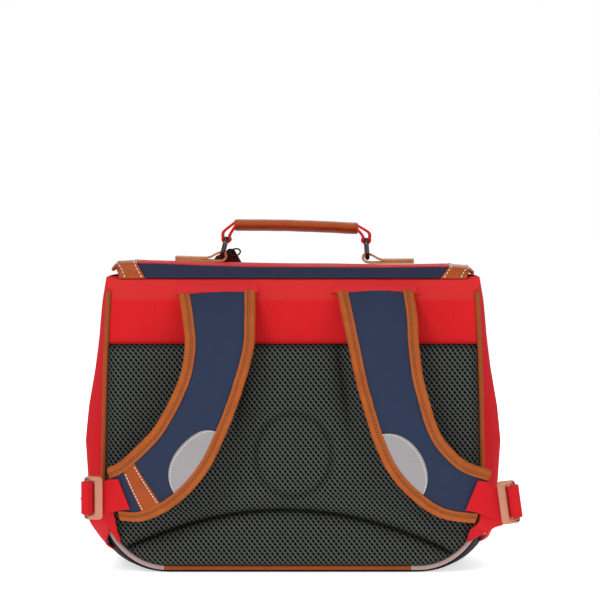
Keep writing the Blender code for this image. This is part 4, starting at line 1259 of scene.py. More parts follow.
def makeBorder(side):
    every = range(len(flapLine))
    steps = flapLook["borderSteps"]
    rings = []
    for index in every:
        def pairAt(share):
            x = borderPlace(index, share, side)
            lift = borderLift(index, share, side)
            soft = flapLook["borderSoft"] if share in (0.0, 1.0) else 0.0
            under = lift - flapLook["borderThick"] + soft
            return flapPoint(index, x, lift - soft), flapPoint(index, x, under)

        rings.append(slabRing(steps, pairAt))
    edges = (steps, 2 * steps + 1)
    loftPiece(
        "flapBorder" + side.title(), rings, [finish["brownLeather"], finish["rawEdge"]],
        slotOf=lambda row, index: 1 if index in edges else 0, capSlot=1,
        slot="brown_leather", nodes=["flap_border_" + side],
    )
    normals = [flapNormal(index) for index in every]
    for label, share in (("Inner", 0.12), ("Outer", 0.78)):
        line = [flapPoint(index, borderPlace(index, share, side),
                          borderLift(index, share, side)) for index in every]
        name = "borderStitches" + label + side.title()
        stitchRow(name, line, normals, borderStitch, finish["whiteThread"], "brown_leather")


def makeFlap():
    last = len(flapLine) - 1
    hinge = round(flapLook["hinge"] * last)
    makeFlapCloth("flapHinge", 0, hinge, "navyFlapCloth", "navy_fabric", "flap_hinge")
    makeFlapCloth("flapCover", hinge, last, "redFabric", "red_fabric", "flap_cover")
    for side in sideSign:
        makeBorder(side)
    print("flap made")


claspLook = {"width": 0.038, "height": 0.030, "thick": 0.006, "corner": 0.006, "rim": 0.004, "sink": 0.0012}


def makeClasp():
    # One plain plate with a raised rim, low on the flap's front
    low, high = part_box("flap_clasp")
    middle = (low + high) / 2
    size = (claspLook["width"], claspLook["thick"], claspLook["height"])
    bpy.ops.mesh.primitive_cube_add(size=1, location=middle, scale=size)
    item = bpy.context.object
    bpy.ops.object.transform_apply(location=True, rotation=True, scale=True)
    bpy.ops.object.mode_set(mode="EDIT")
    bpy.ops.mesh.select_all(action="DESELECT")
    bpy.ops.object.mode_set(mode="OBJECT")
    for edge in item.data.edges:
        ends = [item.data.vertices[index].co for index in edge.vertices]
        edge.select = abs(ends[0].y - ends[1].y) > claspLook["thick"] / 2
    bpy.ops.object.mode_set(mode="EDIT")
    bpy.ops.mesh.select_mode(type="EDGE")
    bpy.ops.mesh.bevel(offset=claspLook["corner"], segments=6)
    bpy.ops.mesh.select_all(action="DESELECT")
    bpy.ops.object.mode_set(mode="OBJECT")
    for face in item.data.polygons:
        face.select = face.normal.y > 0.9
    bpy.ops.object.mode_set(mode="EDIT")
    bpy.ops.mesh.select_mode(type="FACE")
    bpy.ops.mesh.inset(thickness=claspLook["rim"])
    bpy.ops.transform.translate(value=(0, -claspLook["sink"], 0))
    bpy.ops.mesh.inset(thickness=claspLook["rim"] * 0.7)
    bpy.ops.transform.translate(value=(0, claspLook["sink"] * 0.8, 0))
    bpy.ops.object.mode_set(mode="OBJECT")
    finishHard(item, "flapClasp", "gunMetal", 0.0006, ["flap_clasp"])
    print("clasp made")


def finishHard(item, name, material, bevel, nodes):
    # Softened edges, smooth faces, its finish and its ride
    item.name = name
    item.data.name = name
    soften = item.modifiers.new("softEdges", "BEVEL")
    soften.width = bevel
    soften.segments = 3
    soften.limit_method = "ANGLE"
    soften.angle_limit = math.radians(35)
    bpy.ops.object.modifier_apply(modifier=soften.name)
    bpy.ops.object.shade_smooth_by_angle(angle=math.radians(45))
    item.data.materials.clear()
    item.data.materials.append(finish[material])
    bpy.ops.object.select_all(action="DESELECT")
    settle(item, nodes)


# Handle

handleLook = {
    "ringPlace": 0.07535, "seat": 0.0062, "wire": 0.0044, "ringWidth": 0.029, "ringHeight": 0.0185,
    "corner": 0.006,
    "tabReach": 0.047, "tabWidth": 0.022, "tabLeather": 0.0022, "tabStitchInset": 0.003,
    "webWidth": 0.022, "webThick": 0.0026, "webSpread": 0.20,
    "gripHalf": 0.0625, "gripDepth": 0.025, "gripHeight": 0.0092, "gripRise": 0.0150, "gripBow": 0.001,
    "gripDrop": 0.0022, "gripEnd": 0.90, "gripRound": 0.0022, "gripDent": 0.0005,
    "seam": 0.0026, "seamHalf": 0.0014, "seamGroove": 0.0003, "seamSeat": 0.0002,
}
handleRows = {"left": {"shift": 0.0030, "lean": 15.0}, "right": {"shift": 0.0, "lean": -4.0}}
tabStitch = {"pitch": 0.0034, "length": 0.0024, "width": 0.0008, "sit": 0.4}
gripStitch = {"pitch": 0.0040, "length": 0.0027, "width": 0.0007, "sit": 0.3}


def ringBars(side):
    x = sideSign[side] * handleLook["ringPlace"] + handleRows[side]["shift"]
    z = flapTop(x, 0.0) + handleLook["seat"]
    lean = math.radians(handleRows[side]["lean"])
    low = Vector((x, 0.0, z))
    return low, low + Vector((math.sin(lean), 0.0, math.cos(lean))) * handleLook["ringHeight"]


def makeRing(side):
    low, high = ringBars(side)
    look = handleLook
    bpy.ops.mesh.primitive_plane_add(size=1, location=(0, 0, 0), scale=(1, 1, 1))
    item = bpy.context.object
    bpy.ops.object.mode_set(mode="EDIT")
    bpy.ops.transform.resize(value=(look["ringHeight"], look["ringWidth"] - look["wire"] * 0.2, 1))
    bpy.ops.mesh.bevel(offset=look["corner"], segments=10, affect="VERTICES")
    bpy.ops.mesh.delete(type="ONLY_FACE")
    bpy.ops.object.mode_set(mode="OBJECT")
    bpy.ops.object.convert(target="CURVE")
    item.data.bevel_depth = look["wire"] / 2
    item.data.bevel_resolution = 5
    bpy.ops.object.convert(target="MESH")
    item = bpy.context.object
    lean = math.radians(90 - handleRows[side]["lean"])
    item.rotation_euler = (0, -lean, 0)
    item.location = (low + high) / 2
    bpy.ops.object.transform_apply(location=True, rotation=True, scale=True)
    finishHard(item, "ring" + side.title(), "gunMetal", 0.0001, ["ring_" + side])


def roundBar(bar, outward, clear, turns):
    # Points round a ring's bar, at turns in degrees
    result = []
    for degrees in turns:
        angle = math.radians(degrees)
        result.append(Vector((bar.x + outward * clear * math.cos(angle), 0, bar.z + clear * math.sin(angle))))
    return result


def makeRingTab(side):
    look = handleLook
    low = ringBars(side)[0]
    outward = sideSign[side]
    leather = look["tabLeather"]
    clear = look["wire"] / 2 + leather / 2 + 3 * body["gap"]
    lower = flapTop(low.x, 0.0) + body["gap"] + leather / 2
    upper = lower + leather + body["gap"]
    far = low.x + outward * look["tabReach"]
    near = low.x + outward * clear * 4
    slope = (flapTop(far, 0.0) - flapTop(near, 0.0)) / (far - near)

    def onTab(x, height, y=0.0):
        return Vector((x, y, height + slope * (x - low.x)))

    path = [onTab(far, upper), onTab(near, upper)]
    path.append(Vector((low.x + outward * clear * 1.4, 0, low.z + clear * 0.55)))
    path += roundBar(low, outward, clear, (75, 110, 145, 180, 215))
    path.append(Vector((low.x + outward * clear * 0.2, 0, lower + body["gap"])))
    path += [onTab(near, lower), onTab(far, lower)]
    bandPiece(
        "ringTab" + side.title(), smoothPath(path, 8), leather, look["tabWidth"],
        [finish["tanLeather"], finish["rawEdge"]], edgeSlot=1, slot="tan_leather", nodes=["ring_tab_" + side],
    )
    samples = [near + (far - near) * step / 20 for step in range(21)]
    normals = [Vector((0, 0, 1))] * len(samples)
    for label, sign in (("Rear", -1), ("Front", 1)):
        y = sign * (look["tabWidth"] / 2 - look["tabStitchInset"])
        line = [onTab(x, upper + leather / 2, y) for x in samples]
        name = "tabStitches" + label + side.title()
        stitchRow(name, line, normals, tabStitch, finish["whiteThread"], "tan_leather")


def gripMiddle(x):
    left = ringBars("left")[1]
    right = ringBars("right")[1]
    share = (x + handleLook["gripHalf"]) / (2 * handleLook["gripHalf"])
    bow = handleLook["gripBow"] * math.cos(math.pi * (share - 0.5)) - handleLook["gripDrop"] * share
    return left.z + (right.z - left.z) * share + handleLook["gripRise"] + bow


def gripShift():
    return (ringBars("left")[1].x + ringBars("right")[1].x) / 2


def makeGrip():
    look = handleLook
    half = look["gripDepth"] / 2
    top = look["gripHeight"] / 2
    section = []
    crownPoints = 33
    for step in range(crownPoints):
        angle = math.radians(-62 + 304 * step / (crownPoints - 1))
        reach = math.cos(angle)
        section.append((half * math.copysign(abs(reach) ** 0.8, reach), top * math.sin(angle)))
    seam = look["seamHalf"]
    tip = -top - look["seam"]
    leaf = [(-seam, -top - look["seamSeat"]), (-seam, -top - look["seam"] * 0.6), (-seam * 0.8, tip)]
    section += leaf + [(0, tip + look["seamGroove"])] + [(-y, z) for y, z in reversed(leaf)]
    steps = 70
    rings = []
    for step in range(steps + 1):
        share = 2 * step / steps - 1
        x = share * look["gripHalf"]
        rest = min((1 - abs(share)) * look["gripHalf"] / look["gripRound"], 1.0)
        size = look["gripEnd"] + (1 - look["gripEnd"]) * math.sqrt(1 - (1 - rest) ** 2)
        middle = gripMiddle(x) + look["gripDent"] * noise.noise(Vector((x * 50, 0, 2.0)))
        rings.append([Vector((x + gripShift(), y * size, middle + z * size)) for y, z in section])
    seamPoints = range(crownPoints, len(section) - 1)
    loftPiece(
        "grip", rings, [finish["brownLeather"], finish["seamEdge"]],
        slotOf=lambda row, index: 1 if index in seamPoints else 0, slot="brown_leather", nodes=["grip"],
    )
    for label, sign in (("Rear", -1), ("Front", 1)):
        line = []
        for step in range(41):
            x = (2 * step / 40 - 1) * (look["gripHalf"] - 0.003)
            z = gripMiddle(x) - top - look["seam"] * 0.45
            line.append(Vector((x + gripShift(), sign * (seam + 0.0001), z)))
        normals = [Vector((0, sign, 0))] * len(line)
        stitchRow("gripStitches" + label, line, normals, gripStitch, finish["brownThread"], "brown_leather")


def makeGripWeb(side):
    look = handleLook
    high = ringBars(side)[1]
    outward = sideSign[side]
    endX = gripShift() + outward * (look["gripHalf"] - 0.001)
    middle = gripMiddle(outward * look["gripHalf"])
    spread = look["gripHeight"] * look["webSpread"]
    clear = look["wire"] / 2 + look["webThick"] / 2 + body["gap"]
    path = [Vector((endX, 0, middle + spread))]
    path.append(Vector((high.x + outward * clear * 0.70, 0, high.z + clear * 1.9)))
    path += roundBar(high, outward, clear, (20, -15, -50, -90, -130, -165))
    path.append(Vector((high.x - outward * clear * 0.85, 0, high.z + clear * 0.9)))
    path.append(Vector((endX, 0, middle - spread)))
    bandPiece(
        "gripWeb" + side.title(), smoothPath(path, 6), look["webThick"], look["webWidth"],
        [finish["redWebbing"]], slot="red_webbing", nodes=["grip_web_" + side],
    )


tagLook = {
    "outline": [(-0.011, 0.0), (-0.0085, 0.0035), (-0.006, 0.0065), (-0.001, 0.0085), (0.002, 0.0100),
                (0.006, 0.0138), (0.0115, 0.0134), (0.0150, 0.0080), (0.0190, 0.0012)],
    "thick": 0.0011, "leaves": 3, "spread": 0.0014, "shift": 0.0012, "curl": 0.0006, "behind": 0.002,
    "narrower": 0.07, "lower": 0.09, "rows": 6,
    "loopRise": 0.0045, "loopWide": 0.0052, "loopHigh": 0.0036, "loopTilt": 0.0008, "cord": 0.00085,
}


def makeTag():
    # Thin leaves of dark leather folded together behind the left ring
    look = tagLook
    low = ringBars("left")[0]
    depth = handleLook["ringWidth"] / 2 + handleLook["wire"] + look["behind"]
    verts = []
    faces = []
    uvs = []
    steps = look["rows"]
    for leaf in range(look["leaves"]):
        wide = 1 - look["narrower"] * leaf
        high = 1 - look["lower"] * leaf
        outline = smoothPath([Vector((x * wide, 0, z * high)) for x, z in look["outline"]], 4)
        rows = []
        for face in (0, 1):
            for step in range(steps + 1):
                share = step / steps
                line = []
                for point in outline:
                    x = low.x + point.x + look["shift"] * leaf
                    lean = look["curl"] * math.sin(point.x * 400 + leaf) * share
                    y = depth + leaf * look["spread"] + face * look["thick"] + lean
                    line.append(len(verts))
                    verts.append(Vector((x, y, flapTop(x, y) + body["gap"] + point.z * share)))
                rows.append(line)
        count = len(outline)
        ring = rows[:steps + 1] + rows[:steps:-1]
        for near, far in zip(ring, ring[1:] + ring[:1]):
            for index in range(count - 1):
                faces.append((near[index], near[index + 1], far[index + 1], far[index]))
                uvs.append(tuple((verts[spot].x, verts[spot].z) for spot in faces[-1]))
        for end in (0, count - 1):
            faces.append(tuple(line[end] for line in ring))
            uvs.append(tuple((0, 0) for line in ring))
    makePiece("tag", verts, faces, uvs, [finish["oxbloodLeather"]], slot="dark_leather", nodes=["tag"])


def makeTagLoop():
    # The cord loop that stands up behind the left ring
    look = tagLook
    low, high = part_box("tag_loop")
    middle = (low + high) / 2 + Vector((0.0, 0.0, look["loopRise"]))
    points = []
    for step in range(48):
        angle = 2 * math.pi * step / 48
        z = look["loopHigh"] * math.sin(angle) + look["loopTilt"] * math.cos(angle)
        points.append(middle + Vector((look["loopWide"] * math.cos(angle), 0.0, z)))
    loftPiece("tagLoop", tubeRings(points, look["cord"], 10, closed=True), [finish["darkCord"]],
              joinedEnds=True, slot="dark_cord", nodes=["tag_loop"])


def makeHandle():
    for side in sideSign:
        makeRing(side)
        makeRingTab(side)
        makeGripWeb(side)
    makeGrip()
    makeTag()
    makeTagLoop()
    print("handle made")


# Shoulder straps

strapLook = {
    "width": 0.066, "thick": 0.009, "bow": 0.034, "binding": 0.0105, "wall": 0.0012, "each": 9, "columns": 26,
    "crown": 0.0016, "crease": 0.00045, "groove": 0.0038, "soft": 0.003, "patch": 0.0008, "label": 0.0013,
    "patchSeat": 0.0001,
}
strapRows = {
    "left": [
        {"across": 0.393, "up": 0.991, "out": -0.016, "width": 1.14, "thick": 0.55, "turn": -3},
        {"across": 0.381, "up": 0.902, "out": 0.44, "width": 1.08, "thick": 1.00, "turn": 1},
        {"across": 0.377, "up": 0.808, "out": 0.72, "width": 1.02, "thick": 1.00, "turn": 3},
        {"across": 0.411, "up": 0.700, "out": 0.92, "width": 0.95, "thick": 1.00, "turn": 14},
        {"across": 0.473, "up": 0.587, "out": 1.00, "width": 0.96, "thick": 1.00, "turn": 26},
        {"across": 0.569, "up": 0.460, "out": 1.00, "width": 1.02, "thick": 1.00, "turn": 38},
        {"across": 0.686, "up": 0.370, "out": 0.93, "width": 1.04, "thick": 1.00, "turn": 51},
        {"across": 0.814, "up": 0.309, "out": 0.82, "width": 0.96, "thick": 0.95, "turn": 65},
        {"across": 0.919, "up": 0.293, "out": 0.72, "width": 0.80, "thick": 0.70, "turn": 76},
        {"across": 1.0225, "up": 0.285, "out": 0.72, "width": 0.60, "thick": 0.70, "turn": 90},
    ],
    "right": [
        {"across": 0.427, "up": 0.995, "out": -0.016, "width": 1.14, "thick": 0.55, "turn": 1},
        {"across": 0.449, "up": 0.907, "out": 0.44, "width": 1.11, "thick": 1.00, "turn": 2},
        {"across": 0.467, "up": 0.813, "out": 0.72, "width": 1.04, "thick": 1.00, "turn": 3},
        {"across": 0.493, "up": 0.704, "out": 0.92, "width": 0.99, "thick": 1.00, "turn": 6},
        {"across": 0.531, "up": 0.607, "out": 1.00, "width": 0.97, "thick": 1.00, "turn": 12},
        {"across": 0.572, "up": 0.516, "out": 1.00, "width": 0.96, "thick": 1.00, "turn": 21},
        {"across": 0.630, "up": 0.433, "out": 0.96, "width": 0.96, "thick": 1.00, "turn": 36},
        {"across": 0.715, "up": 0.366, "out": 0.90, "width": 0.95, "thick": 1.00, "turn": 50},
        {"across": 0.826, "up": 0.311, "out": 0.80, "width": 0.92, "thick": 0.95, "turn": 64},
        {"across": 0.978, "up": 0.284, "out": 0.72, "width": 0.82, "thick": 0.70, "turn": 72},
        {"across": 1.1056, "up": 0.270, "out": 0.72, "width": 0.60, "thick": 0.70, "turn": 98},
    ],
}
bindingStitch = {"pitch": 0.0027, "length": 0.0019, "width": 0.00065, "sit": 0.1}
patchStitch = {"pitch": 0.0030, "length": 0.0022, "width": 0.0007, "sit": 0.3}
labelStitch = {"pitch": 0.0033, "length": 0.0024, "width": 0.0009, "sit": 0.4}


def strapMiddle(side, row):
    x = sideSign[side] * row["across"] * body["halfWidth"]
    z = row["up"] * (body["height"] - body["hemHeight"])
    seat = rearFace - body["bandThick"] - strapLook["wall"] - 2 * body["gap"]
    return Vector((x, seat - row["thick"] * strapLook["thick"] / 2 - row["out"] * strapLook["bow"], z))


def strapFrame(side, place):
    rows = strapRows[side]
    row = rowAt(rows, place)
    step = 0.02
    ahead = strapMiddle(side, rowAt(rows, min(place + step, len(rows) - 1)))
    behind = strapMiddle(side, rowAt(rows, max(place - step, 0)))
    turn = math.radians(row["turn"])
    across = Vector((sideSign[side] * math.cos(turn), 0.0, math.sin(turn)))
    along = (ahead - behind).normalized()
    normal = across.cross(along)
    if normal.y > 0:
        normal.negate()
    normal.normalize()
    along = normal.cross(across)
    if along.dot(ahead - behind) < 0:
        along.negate()
    return {
        "middle": strapMiddle(side, row), "across": across, "along": along, "normal": normal,
        "half": row["width"] * strapLook["width"] / 2, "thick": row["thick"] * strapLook["thick"],
        "place": place, "side": side,
    }


def strapEnd(side):
    return len(strapRows[side]) - 2


def strapPlaces(side):
    count = strapEnd(side) * strapLook["each"]
    return [step / strapLook["each"] for step in range(count + 1)]


def strapTop(given, x):
    # How far the padding's front stands out at a place across the strap
    room = max(given["half"] - strapLook["binding"] - 0.0005, 0.004)
    share = min(abs(x) / room, 1.0)
    calm = 1 - share**2
    crown = strapLook["crown"] * calm**0.7 * min(given["thick"] / strapLook["thick"], 1.0)
    place = given["place"]
    offset = 0.0 if given["side"] == "left" else 11.0
    crease = noise.noise(Vector((x * 30 + offset, place * 2.6 + x * 22, 1.3)))
    crease += 0.6 * noise.noise(Vector((x * 55 + offset, place * 5.5 - x * 40, 6.3)))
    return given["thick"] / 2 + crown + strapLook["crease"] * crease * calm


def onStrap(given, x, z):
    return given["middle"] + given["across"] * x + given["normal"] * z


def makeStrapCore(side):
    rings = []
    steps = strapLook["columns"]
    for place in strapPlaces(side):
        given = strapFrame(side, place)
        half = given["half"] - strapLook["wall"] - body["gap"]
        thick = given["thick"] / 2
        soft = min(strapLook["soft"], thick * 0.6)
        section = [(half, thick - soft), (half - soft * 0.3, thick - soft * 0.3)]
        for step in range(steps + 1):
            x = (half - soft) * (1 - 2 * step / steps)
            section.append((x, strapTop(given, x)))
        section += [(-half + soft * 0.3, thick - soft * 0.3), (-half, thick - soft), (-half, -thick + soft)]
        section += [(x, -thick) for x in (-half + soft, -half / 2, 0.0, half / 2, half - soft)]
        section += [(half, -thick + soft)]
        rings.append([onStrap(given, x, z) for x, z in section])
    cloth = [finish["navyStrapCloth"]]
    core = loftPiece("strap" + side.title(), rings, cloth, slot="navy_fabric", nodes=["strap_" + side])


# Places across and out, from the lip's edge or the groove's middle and the tape's face
bindingShape = {
    "lip": [(-0.0001, -0.0004), (0.0004, 0.0), (0.0018, 0.0002)],
    "groove": [(-0.0010, 0.0), (-0.0003, -0.0006), (0.0003, -0.0006), (0.0010, 0.0001), (0.0024, 0.0004)],
    # Painted shade on the groove's points, by their place in the section
    "grooveShade": {4: 0.35, 5: 1.0, 6: 1.0, 7: 0.35},
    "round": 0.0036, "backLip": 0.0004, "stitchDepth": 0.0005, "ripple": 0.00022,
}


def bindingSection(given):
    # A folded tape, from its lip on the cloth over the stitched groove and round the edge to the back
    half = given["half"]
    thick = given["thick"] / 2 + body["gap"]
    top = thick + strapLook["wall"]
    reach = half - strapLook["binding"]
    groove = reach + strapLook["groove"]
    soft = min(bindingShape["round"], top * 0.75)
    points = [(reach, thick)]
    points += [(reach + across, top + out) for across, out in bindingShape["lip"]]
    points += [(groove + across, top + out) for across, out in bindingShape["groove"]]
    for start, middle in ((1, top - soft), (0, soft - top)):
        for step in range(7):
            angle = math.pi / 2 * (start - step / 6)
            points.append((half - soft + soft * math.cos(angle), middle + soft * math.sin(angle)))
    lip = bindingShape["backLip"]
    points += [(reach + lip, -top), (reach, -top + lip), (reach, -thick)]
    inner = half - strapLook["wall"]
    hollow = min(strapLook["soft"], given["thick"] / 2 * 0.6)
    points += [(inner - hollow, -thick), (inner, -thick + hollow), (inner, thick - hollow),
               (inner - hollow, thick)]
    return points


def makeBinding(side, edge):
    outward = 1 if edge == "outer" else -1
    rings = []
    line = []
    normals = []
    for place in strapPlaces(side):
        given = strapFrame(side, place)
        ripple = bindingShape["ripple"] * noise.noise(Vector((place * 9, outward * 3.0, 0.5)))
        rings.append([onStrap(given, (x + ripple) * outward, z + ripple) for x, z in bindingSection(given)])
        reach = given["half"] - strapLook["binding"] + strapLook["groove"] + ripple
        out = given["thick"] / 2 + body["gap"] + strapLook["wall"] - bindingShape["stitchDepth"] + ripple
        line.append(onStrap(given, reach * outward, out))
        normals.append(given["normal"])
    name = edge.title() + side.title()
    tape = loftPiece("strapBinding" + name, rings, [finish["brownBinding"]], slot="brown_binding",
                     nodes=["strap_binding_" + edge + "_" + side])
    # Painted shade in the tape's stitched groove
    count = len(rings[0])
    grooveShade = bindingShape["grooveShade"]
    storePaintedShade(tape, [grooveShade.get(index % count, 0.0) for index in range(len(tape.data.vertices))])
    stitchRow("bindingStitches" + name, line, normals, bindingStitch, finish["brownThread"], "brown_binding")


def patchRing(given, low, high, columns, thick, lip, endLip):
    # One ring of a thin patch that lies on the padding, its front lowered by a lip
    def pairAt(share):
        x = low + (high - low) * share
        base = strapTop(given, x) - strapLook["patchSeat"]
        return onStrap(given, x, base + thick - (endLip if share == 1.0 else lip)), onStrap(given, x, base)

    return slabRing(columns, pairAt)


reflectorLook = {
    "left": {"start": 4.25, "end": 5.98, "share": 0.54}, "right": {"start": 4.80, "end": 7.15, "share": 0.60},
    "steps": 60, "columns": 14, "under": 0.0012, "least": 0.001, "lip": 0.0004, "stitchInset": 0.0024,
}


def makeReflector(side):
    # Half an oval, from under the inner binding towards the outer one
    look = reflectorLook
    start, end = look[side]["start"], look[side]["end"]
    rings = []
    line = []
    normals = []
    for step in range(look["steps"] + 1):
        place = (start + end) / 2 - (end - start) / 2 * math.cos(math.pi * step / look["steps"])
        given = strapFrame(side, place)
        inner = -given["half"] + strapLook["binding"] - look["under"]
        outer = given["half"] - strapLook["binding"] - body["gap"]
        bow = math.sqrt(max(1 - (2 * (place - start) / (end - start) - 1) ** 2, 0.0))
        edge = inner + look["least"] + (outer - inner) * look[side]["share"] * bow
        rings.append(patchRing(given, inner, edge, look["columns"], strapLook["patch"], 0.0, look["lip"]))
        if bow > 0.05:
            x = max(edge - look["stitchInset"], inner + 0.0005)
            line.append(onStrap(given, x, strapTop(given, x) + strapLook["patch"] - strapLook["patchSeat"]))
            normals.append(given["normal"])
    name = side.title()
    loftPiece("reflector" + name, rings, [finish["reflective"]], slot="reflective_trim",
              nodes=["reflector_" + side])
    stitchRow("reflectorStitches" + name, line, normals, patchStitch, finish["whiteThread"],
              "reflective_trim")


labelLook = {"place": 6.74, "length": 0.0182, "rowLength": 0.0305, "margin": 0.0008, "lip": 0.0005}


def makeLabel():
    # A bare leather band across the left strap, stitched along both its long sides
    look = labelLook
    halfRows = look["length"] / look["rowLength"] / 2
    steps = 16
    rings = []
    for step in range(steps + 1):
        given = strapFrame("left", look["place"] + halfRows * (2 * step / steps - 1))
        reach = given["half"] - strapLook["binding"] + look["margin"]
        lip = look["lip"] if step in (0, steps) else 0.0
        rings.append(patchRing(given, -reach, reach, 20, strapLook["label"], lip, lip))
    for label, share in (("Upper", 0.10), ("Lower", 0.90)):
        given = strapFrame("left", look["place"] + halfRows * (2 * share - 1))
        reach = given["half"] - strapLook["binding"] - look["margin"]
        line = []
        for column in range(31):
            x = reach * (2 * column / 30 - 1)
            line.append(onStrap(given, x, strapTop(given, x) - strapLook["patchSeat"] + strapLook["label"]))
        normals = [given["normal"]] * len(line)
        stitchRow("labelStitches" + label, line, normals, labelStitch, finish["whiteThread"], "brown_leather")
    loftPiece("strapLabel", rings, [finish["brownLeather"]], slot="brown_leather", nodes=["strap_label"])


# Webbing and buckles

webLook = {"width": 0.032, "thick": 0.002, "return": 0.0004, "seat": 0.0013,
           "onStrap": {"left": 0.61, "right": 0.42}}
buckleLook = {
    "width": 0.042, "length": 0.0180, "thick": 0.005, "innerBar": 0.0080, "outerBar": 0.004, "rail": 0.0045,
    "corner": 0.0035, "bow": 0.0018, "round": 0.0012,
}
# Both edges of each leg from behind its buckle to its sewn end, in metres as x, y and z.
# A first y of 0 is a place behind the buckle, and a last y of 0 is a place on the pad's face.
legEdges = {
    "backLeft": {
        "inner": [(-0.178, 0, 0.080), (-0.1752, -0.092, 0.0618), (-0.1732, -0.081, 0.0450),
                  (-0.1702, 0, 0.0330)],
        "outer": [(-0.206, 0, 0.080), (-0.1897, -0.092, 0.0604), (-0.1800, -0.081, 0.0430),
                  (-0.1726, 0, 0.0305)],
    },
    "sideLeft": {
        "inner": [(-0.180, 0, 0.082), (-0.1870, -0.092, 0.0620), (-0.1811, -0.078, 0.0442),
                  (-0.1855, -0.064, 0.0292),
                  (-0.1785, -0.056, 0.0215)],
        "outer": [(-0.208, 0, 0.078), (-0.2003, -0.085, 0.0545), (-0.1955, -0.063, 0.0410),
                  (-0.1893, -0.047, 0.0290),
                  (-0.1812, -0.044, 0.0205)],
    },
    "backRight": {
        "inner": [(0.182, 0, 0.078), (0.1825, -0.096, 0.0565), (0.1745, -0.084, 0.0451), (0.1722, 0, 0.0335)],
        "outer": [(0.210, 0, 0.074), (0.2064, -0.096, 0.0560), (0.1847, -0.082, 0.0391), (0.1745, 0, 0.0310)],
    },
    "sideRight": {
        "inner": [(0.186, 0, 0.078), (0.1925, -0.088, 0.0500), (0.1925, -0.078, 0.0445),
                  (0.1915, -0.062, 0.0367),
                  (0.1868, -0.046, 0.0280)],
        "outer": [(0.212, 0, 0.072), (0.2076, -0.088, 0.0523), (0.1990, -0.070, 0.0470),
                  (0.1945, -0.048, 0.0330),
                  (0.1885, -0.034, 0.0265)],
    },
}


def buckleFrame(side):
    given = strapFrame(side, strapEnd(side) + 1)
    last = strapFrame(side, strapEnd(side))
    sign = sideSign[side]
    across = Vector((given["across"].x, 0.0, given["across"].z)).normalized()
    seat = -last["middle"].y + last["thick"] / 2 + strapLook["wall"] + 2 * body["gap"] + webLook["thick"] / 2
    middle = given["middle"].copy()
    middle.y = -seat - webLook["thick"] / 2 - body["gap"] - buckleLook["thick"] / 2
    along = Vector((sign * abs(across.z), 0.0, -sign * across.x))
    return {"middle": middle, "across": across, "along": along, "normal": Vector((0.0, -1.0, 0.0))}


def inBuckle(given, along, across, out):
    return given["middle"] + given["along"] * along + given["across"] * across + given["normal"] * out


def makeBuckle(side):
    # A block whose front and back are inset, pushed off centre and bridged into a window
    given = buckleFrame(side)
    look = buckleLook
    bpy.ops.mesh.primitive_cube_add(size=1, location=(0, 0, 0))
    item = bpy.context.object
    bpy.ops.object.mode_set(mode="EDIT")
    bpy.ops.transform.resize(value=(look["length"], look["width"], look["thick"]))
    bpy.ops.mesh.select_all(action="DESELECT")
    bpy.ops.object.mode_set(mode="OBJECT")
    for face in item.data.polygons:
        face.select = abs(face.normal.z) > 0.9
    bpy.ops.object.mode_set(mode="EDIT")
    bpy.ops.mesh.select_mode(type="FACE")
    bpy.ops.mesh.inset(thickness=look["rail"])
    windowLow = -look["length"] / 2 + look["innerBar"]
    windowHigh = look["length"] / 2 - look["outerBar"]
    wide = (windowHigh - windowLow) / (look["length"] - 2 * look["rail"])
    bpy.ops.transform.resize(value=(wide, 1, 1), center_override=(0, 0, 0))
    bpy.ops.transform.translate(value=((windowLow + windowHigh) / 2, 0, 0))
    bpy.ops.mesh.bridge_edge_loops()
    bpy.ops.object.mode_set(mode="OBJECT")
    for edge in item.data.edges:
        ends = [item.data.vertices[index].co for index in edge.vertices]
        upright = abs(ends[0].z - ends[1].z) > look["thick"] * 0.4
        farOut = [look["length"] / 2 - abs(end.x) + look["width"] / 2 - abs(end.y) for end in ends]
        edge.select = upright and max(farOut) < 1e-5
    bpy.ops.object.mode_set(mode="EDIT")
    bpy.ops.mesh.select_mode(type="EDGE")
    bpy.ops.mesh.bevel(offset=look["corner"], segments=5)
    bpy.ops.object.mode_set(mode="OBJECT")
    for vert in item.data.vertices:
        # The wide bar bows out a little, as a moulded part does
        if vert.co.x < windowLow and vert.co.z > 0:
            vert.co.z += look["bow"] * (1 - (vert.co.y / look["width"] * 2) ** 2)
        vert.co = inBuckle(given, vert.co.x, vert.co.y, vert.co.z)
    bpy.ops.object.mode_set(mode="EDIT")
    bpy.ops.mesh.select_all(action="SELECT")
    bpy.ops.mesh.normals_make_consistent(inside=False)
    bpy.ops.object.mode_set(mode="OBJECT")
    finishHard(item, "buckle" + side.title(), "buckleBrown", look["round"],
               ["buckle_" + side])


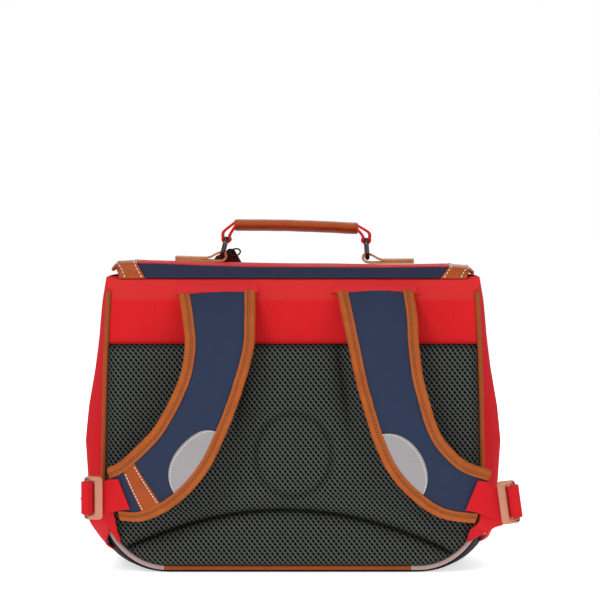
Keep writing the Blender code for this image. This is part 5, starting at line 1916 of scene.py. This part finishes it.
def makeStrapWeb(side):
    # From the strap's end behind the wide bar, up through the window, over the narrow bar and back behind it
    buckle = buckleFrame(side)
    look = buckleLook
    web = webLook["thick"]
    behind = -look["thick"] / 2 - body["gap"] - web / 2
    back = behind - webLook["return"]
    half = look["length"] / 2
    barStart = -half + look["innerBar"]
    outerStart = half - look["outerBar"]
    turnReach = half + body["gap"] + web * 0.6
    stations = []
    for place in (strapEnd(side) - webLook["onStrap"][side], strapEnd(side) - 0.05):
        given = strapFrame(side, place)
        out = given["thick"] / 2 + strapLook["wall"] + 2 * body["gap"] + web / 2
        stations.append((given["middle"] + given["normal"] * out, given["across"], given["normal"]))
    normal = buckle["normal"]
    along = buckle["along"]
    for reach, out, facing in (
        (-half - 0.002, behind, normal), (barStart - 0.001, behind, normal),
        ((barStart + outerStart) / 2 - 0.0006, 0.0, normal - along),
        (outerStart + 0.0004, -behind, normal), (half - 0.0006, -behind, normal),
        (turnReach, -behind * 0.5, normal + along), (turnReach + 0.0002, behind * 0.5, along - normal),
        (half - 0.001, back, -normal), (outerStart + 0.0006, back, -normal),
    ):
        stations.append((inBuckle(buckle, reach, 0.0, out), buckle["across"], facing.normalized()))
    room = look["width"] - 2 * look["rail"] - 2 * body["gap"]
    ribbonPiece("strapWeb" + side.title(), stations, min(webLook["width"], room), web, [finish["redWebbing"]],
                slot="red_webbing", nodes=["strap_web_" + side])


def makeLegs(side):
    buckle = buckleFrame(side)
    web = webLook["thick"]
    layer = buckleLook["thick"] / 2 + 2 * body["gap"] + web * 1.5 + webLook["return"]
    hidden = inBuckle(buckle, 0.0, 0.0, -layer).y
    for part, behind in (("back", 0.0), ("side", web + 2 * body["gap"])):
        edges = []
        for name in ("inner", "outer"):
            points = [Vector(point) for point in legEdges[part + side.title()][name]]
            points[0].y = hidden + behind
            if part == "back":
                points[-1].y = padFace(points[-1].x, points[-1].z) - webLook["seat"]
            edges.append(smoothPath(points, 10))
        stations = []
        widths = []
        last = len(edges[0]) - 1
        for index, (inner, outer) in enumerate(zip(*edges)):
            ahead = edges[0][min(index + 1, last)] + edges[1][min(index + 1, last)]
            ahead = ahead - edges[0][max(index - 1, 0)] - edges[1][max(index - 1, 0)]
            across = (inner - outer).normalized()
            stations.append(((inner + outer) / 2, across, across.cross(ahead).normalized()))
            widths.append((inner - outer).length)
        ribbonPiece(
            "anchor" + part.title() + side.title(), stations, lambda share: widths[round(share * last)], web,
            [finish["redWebbing"]], each=1, slot="red_webbing", nodes=["anchor_" + part + "_" + side],
        )


makeShell()
makePad()
makeBand()
makeHem()
makePiping()
makeFlap()
makeClasp()
makeHandle()
for eachSide in sideSign:
    makeStrapCore(eachSide)
    makeBinding(eachSide, "inner")
    makeBinding(eachSide, "outer")
    makeReflector(eachSide)
    makeStrapWeb(eachSide)
    makeBuckle(eachSide)
    makeLegs(eachSide)
    print("strap made:", eachSide)
makeLabel()
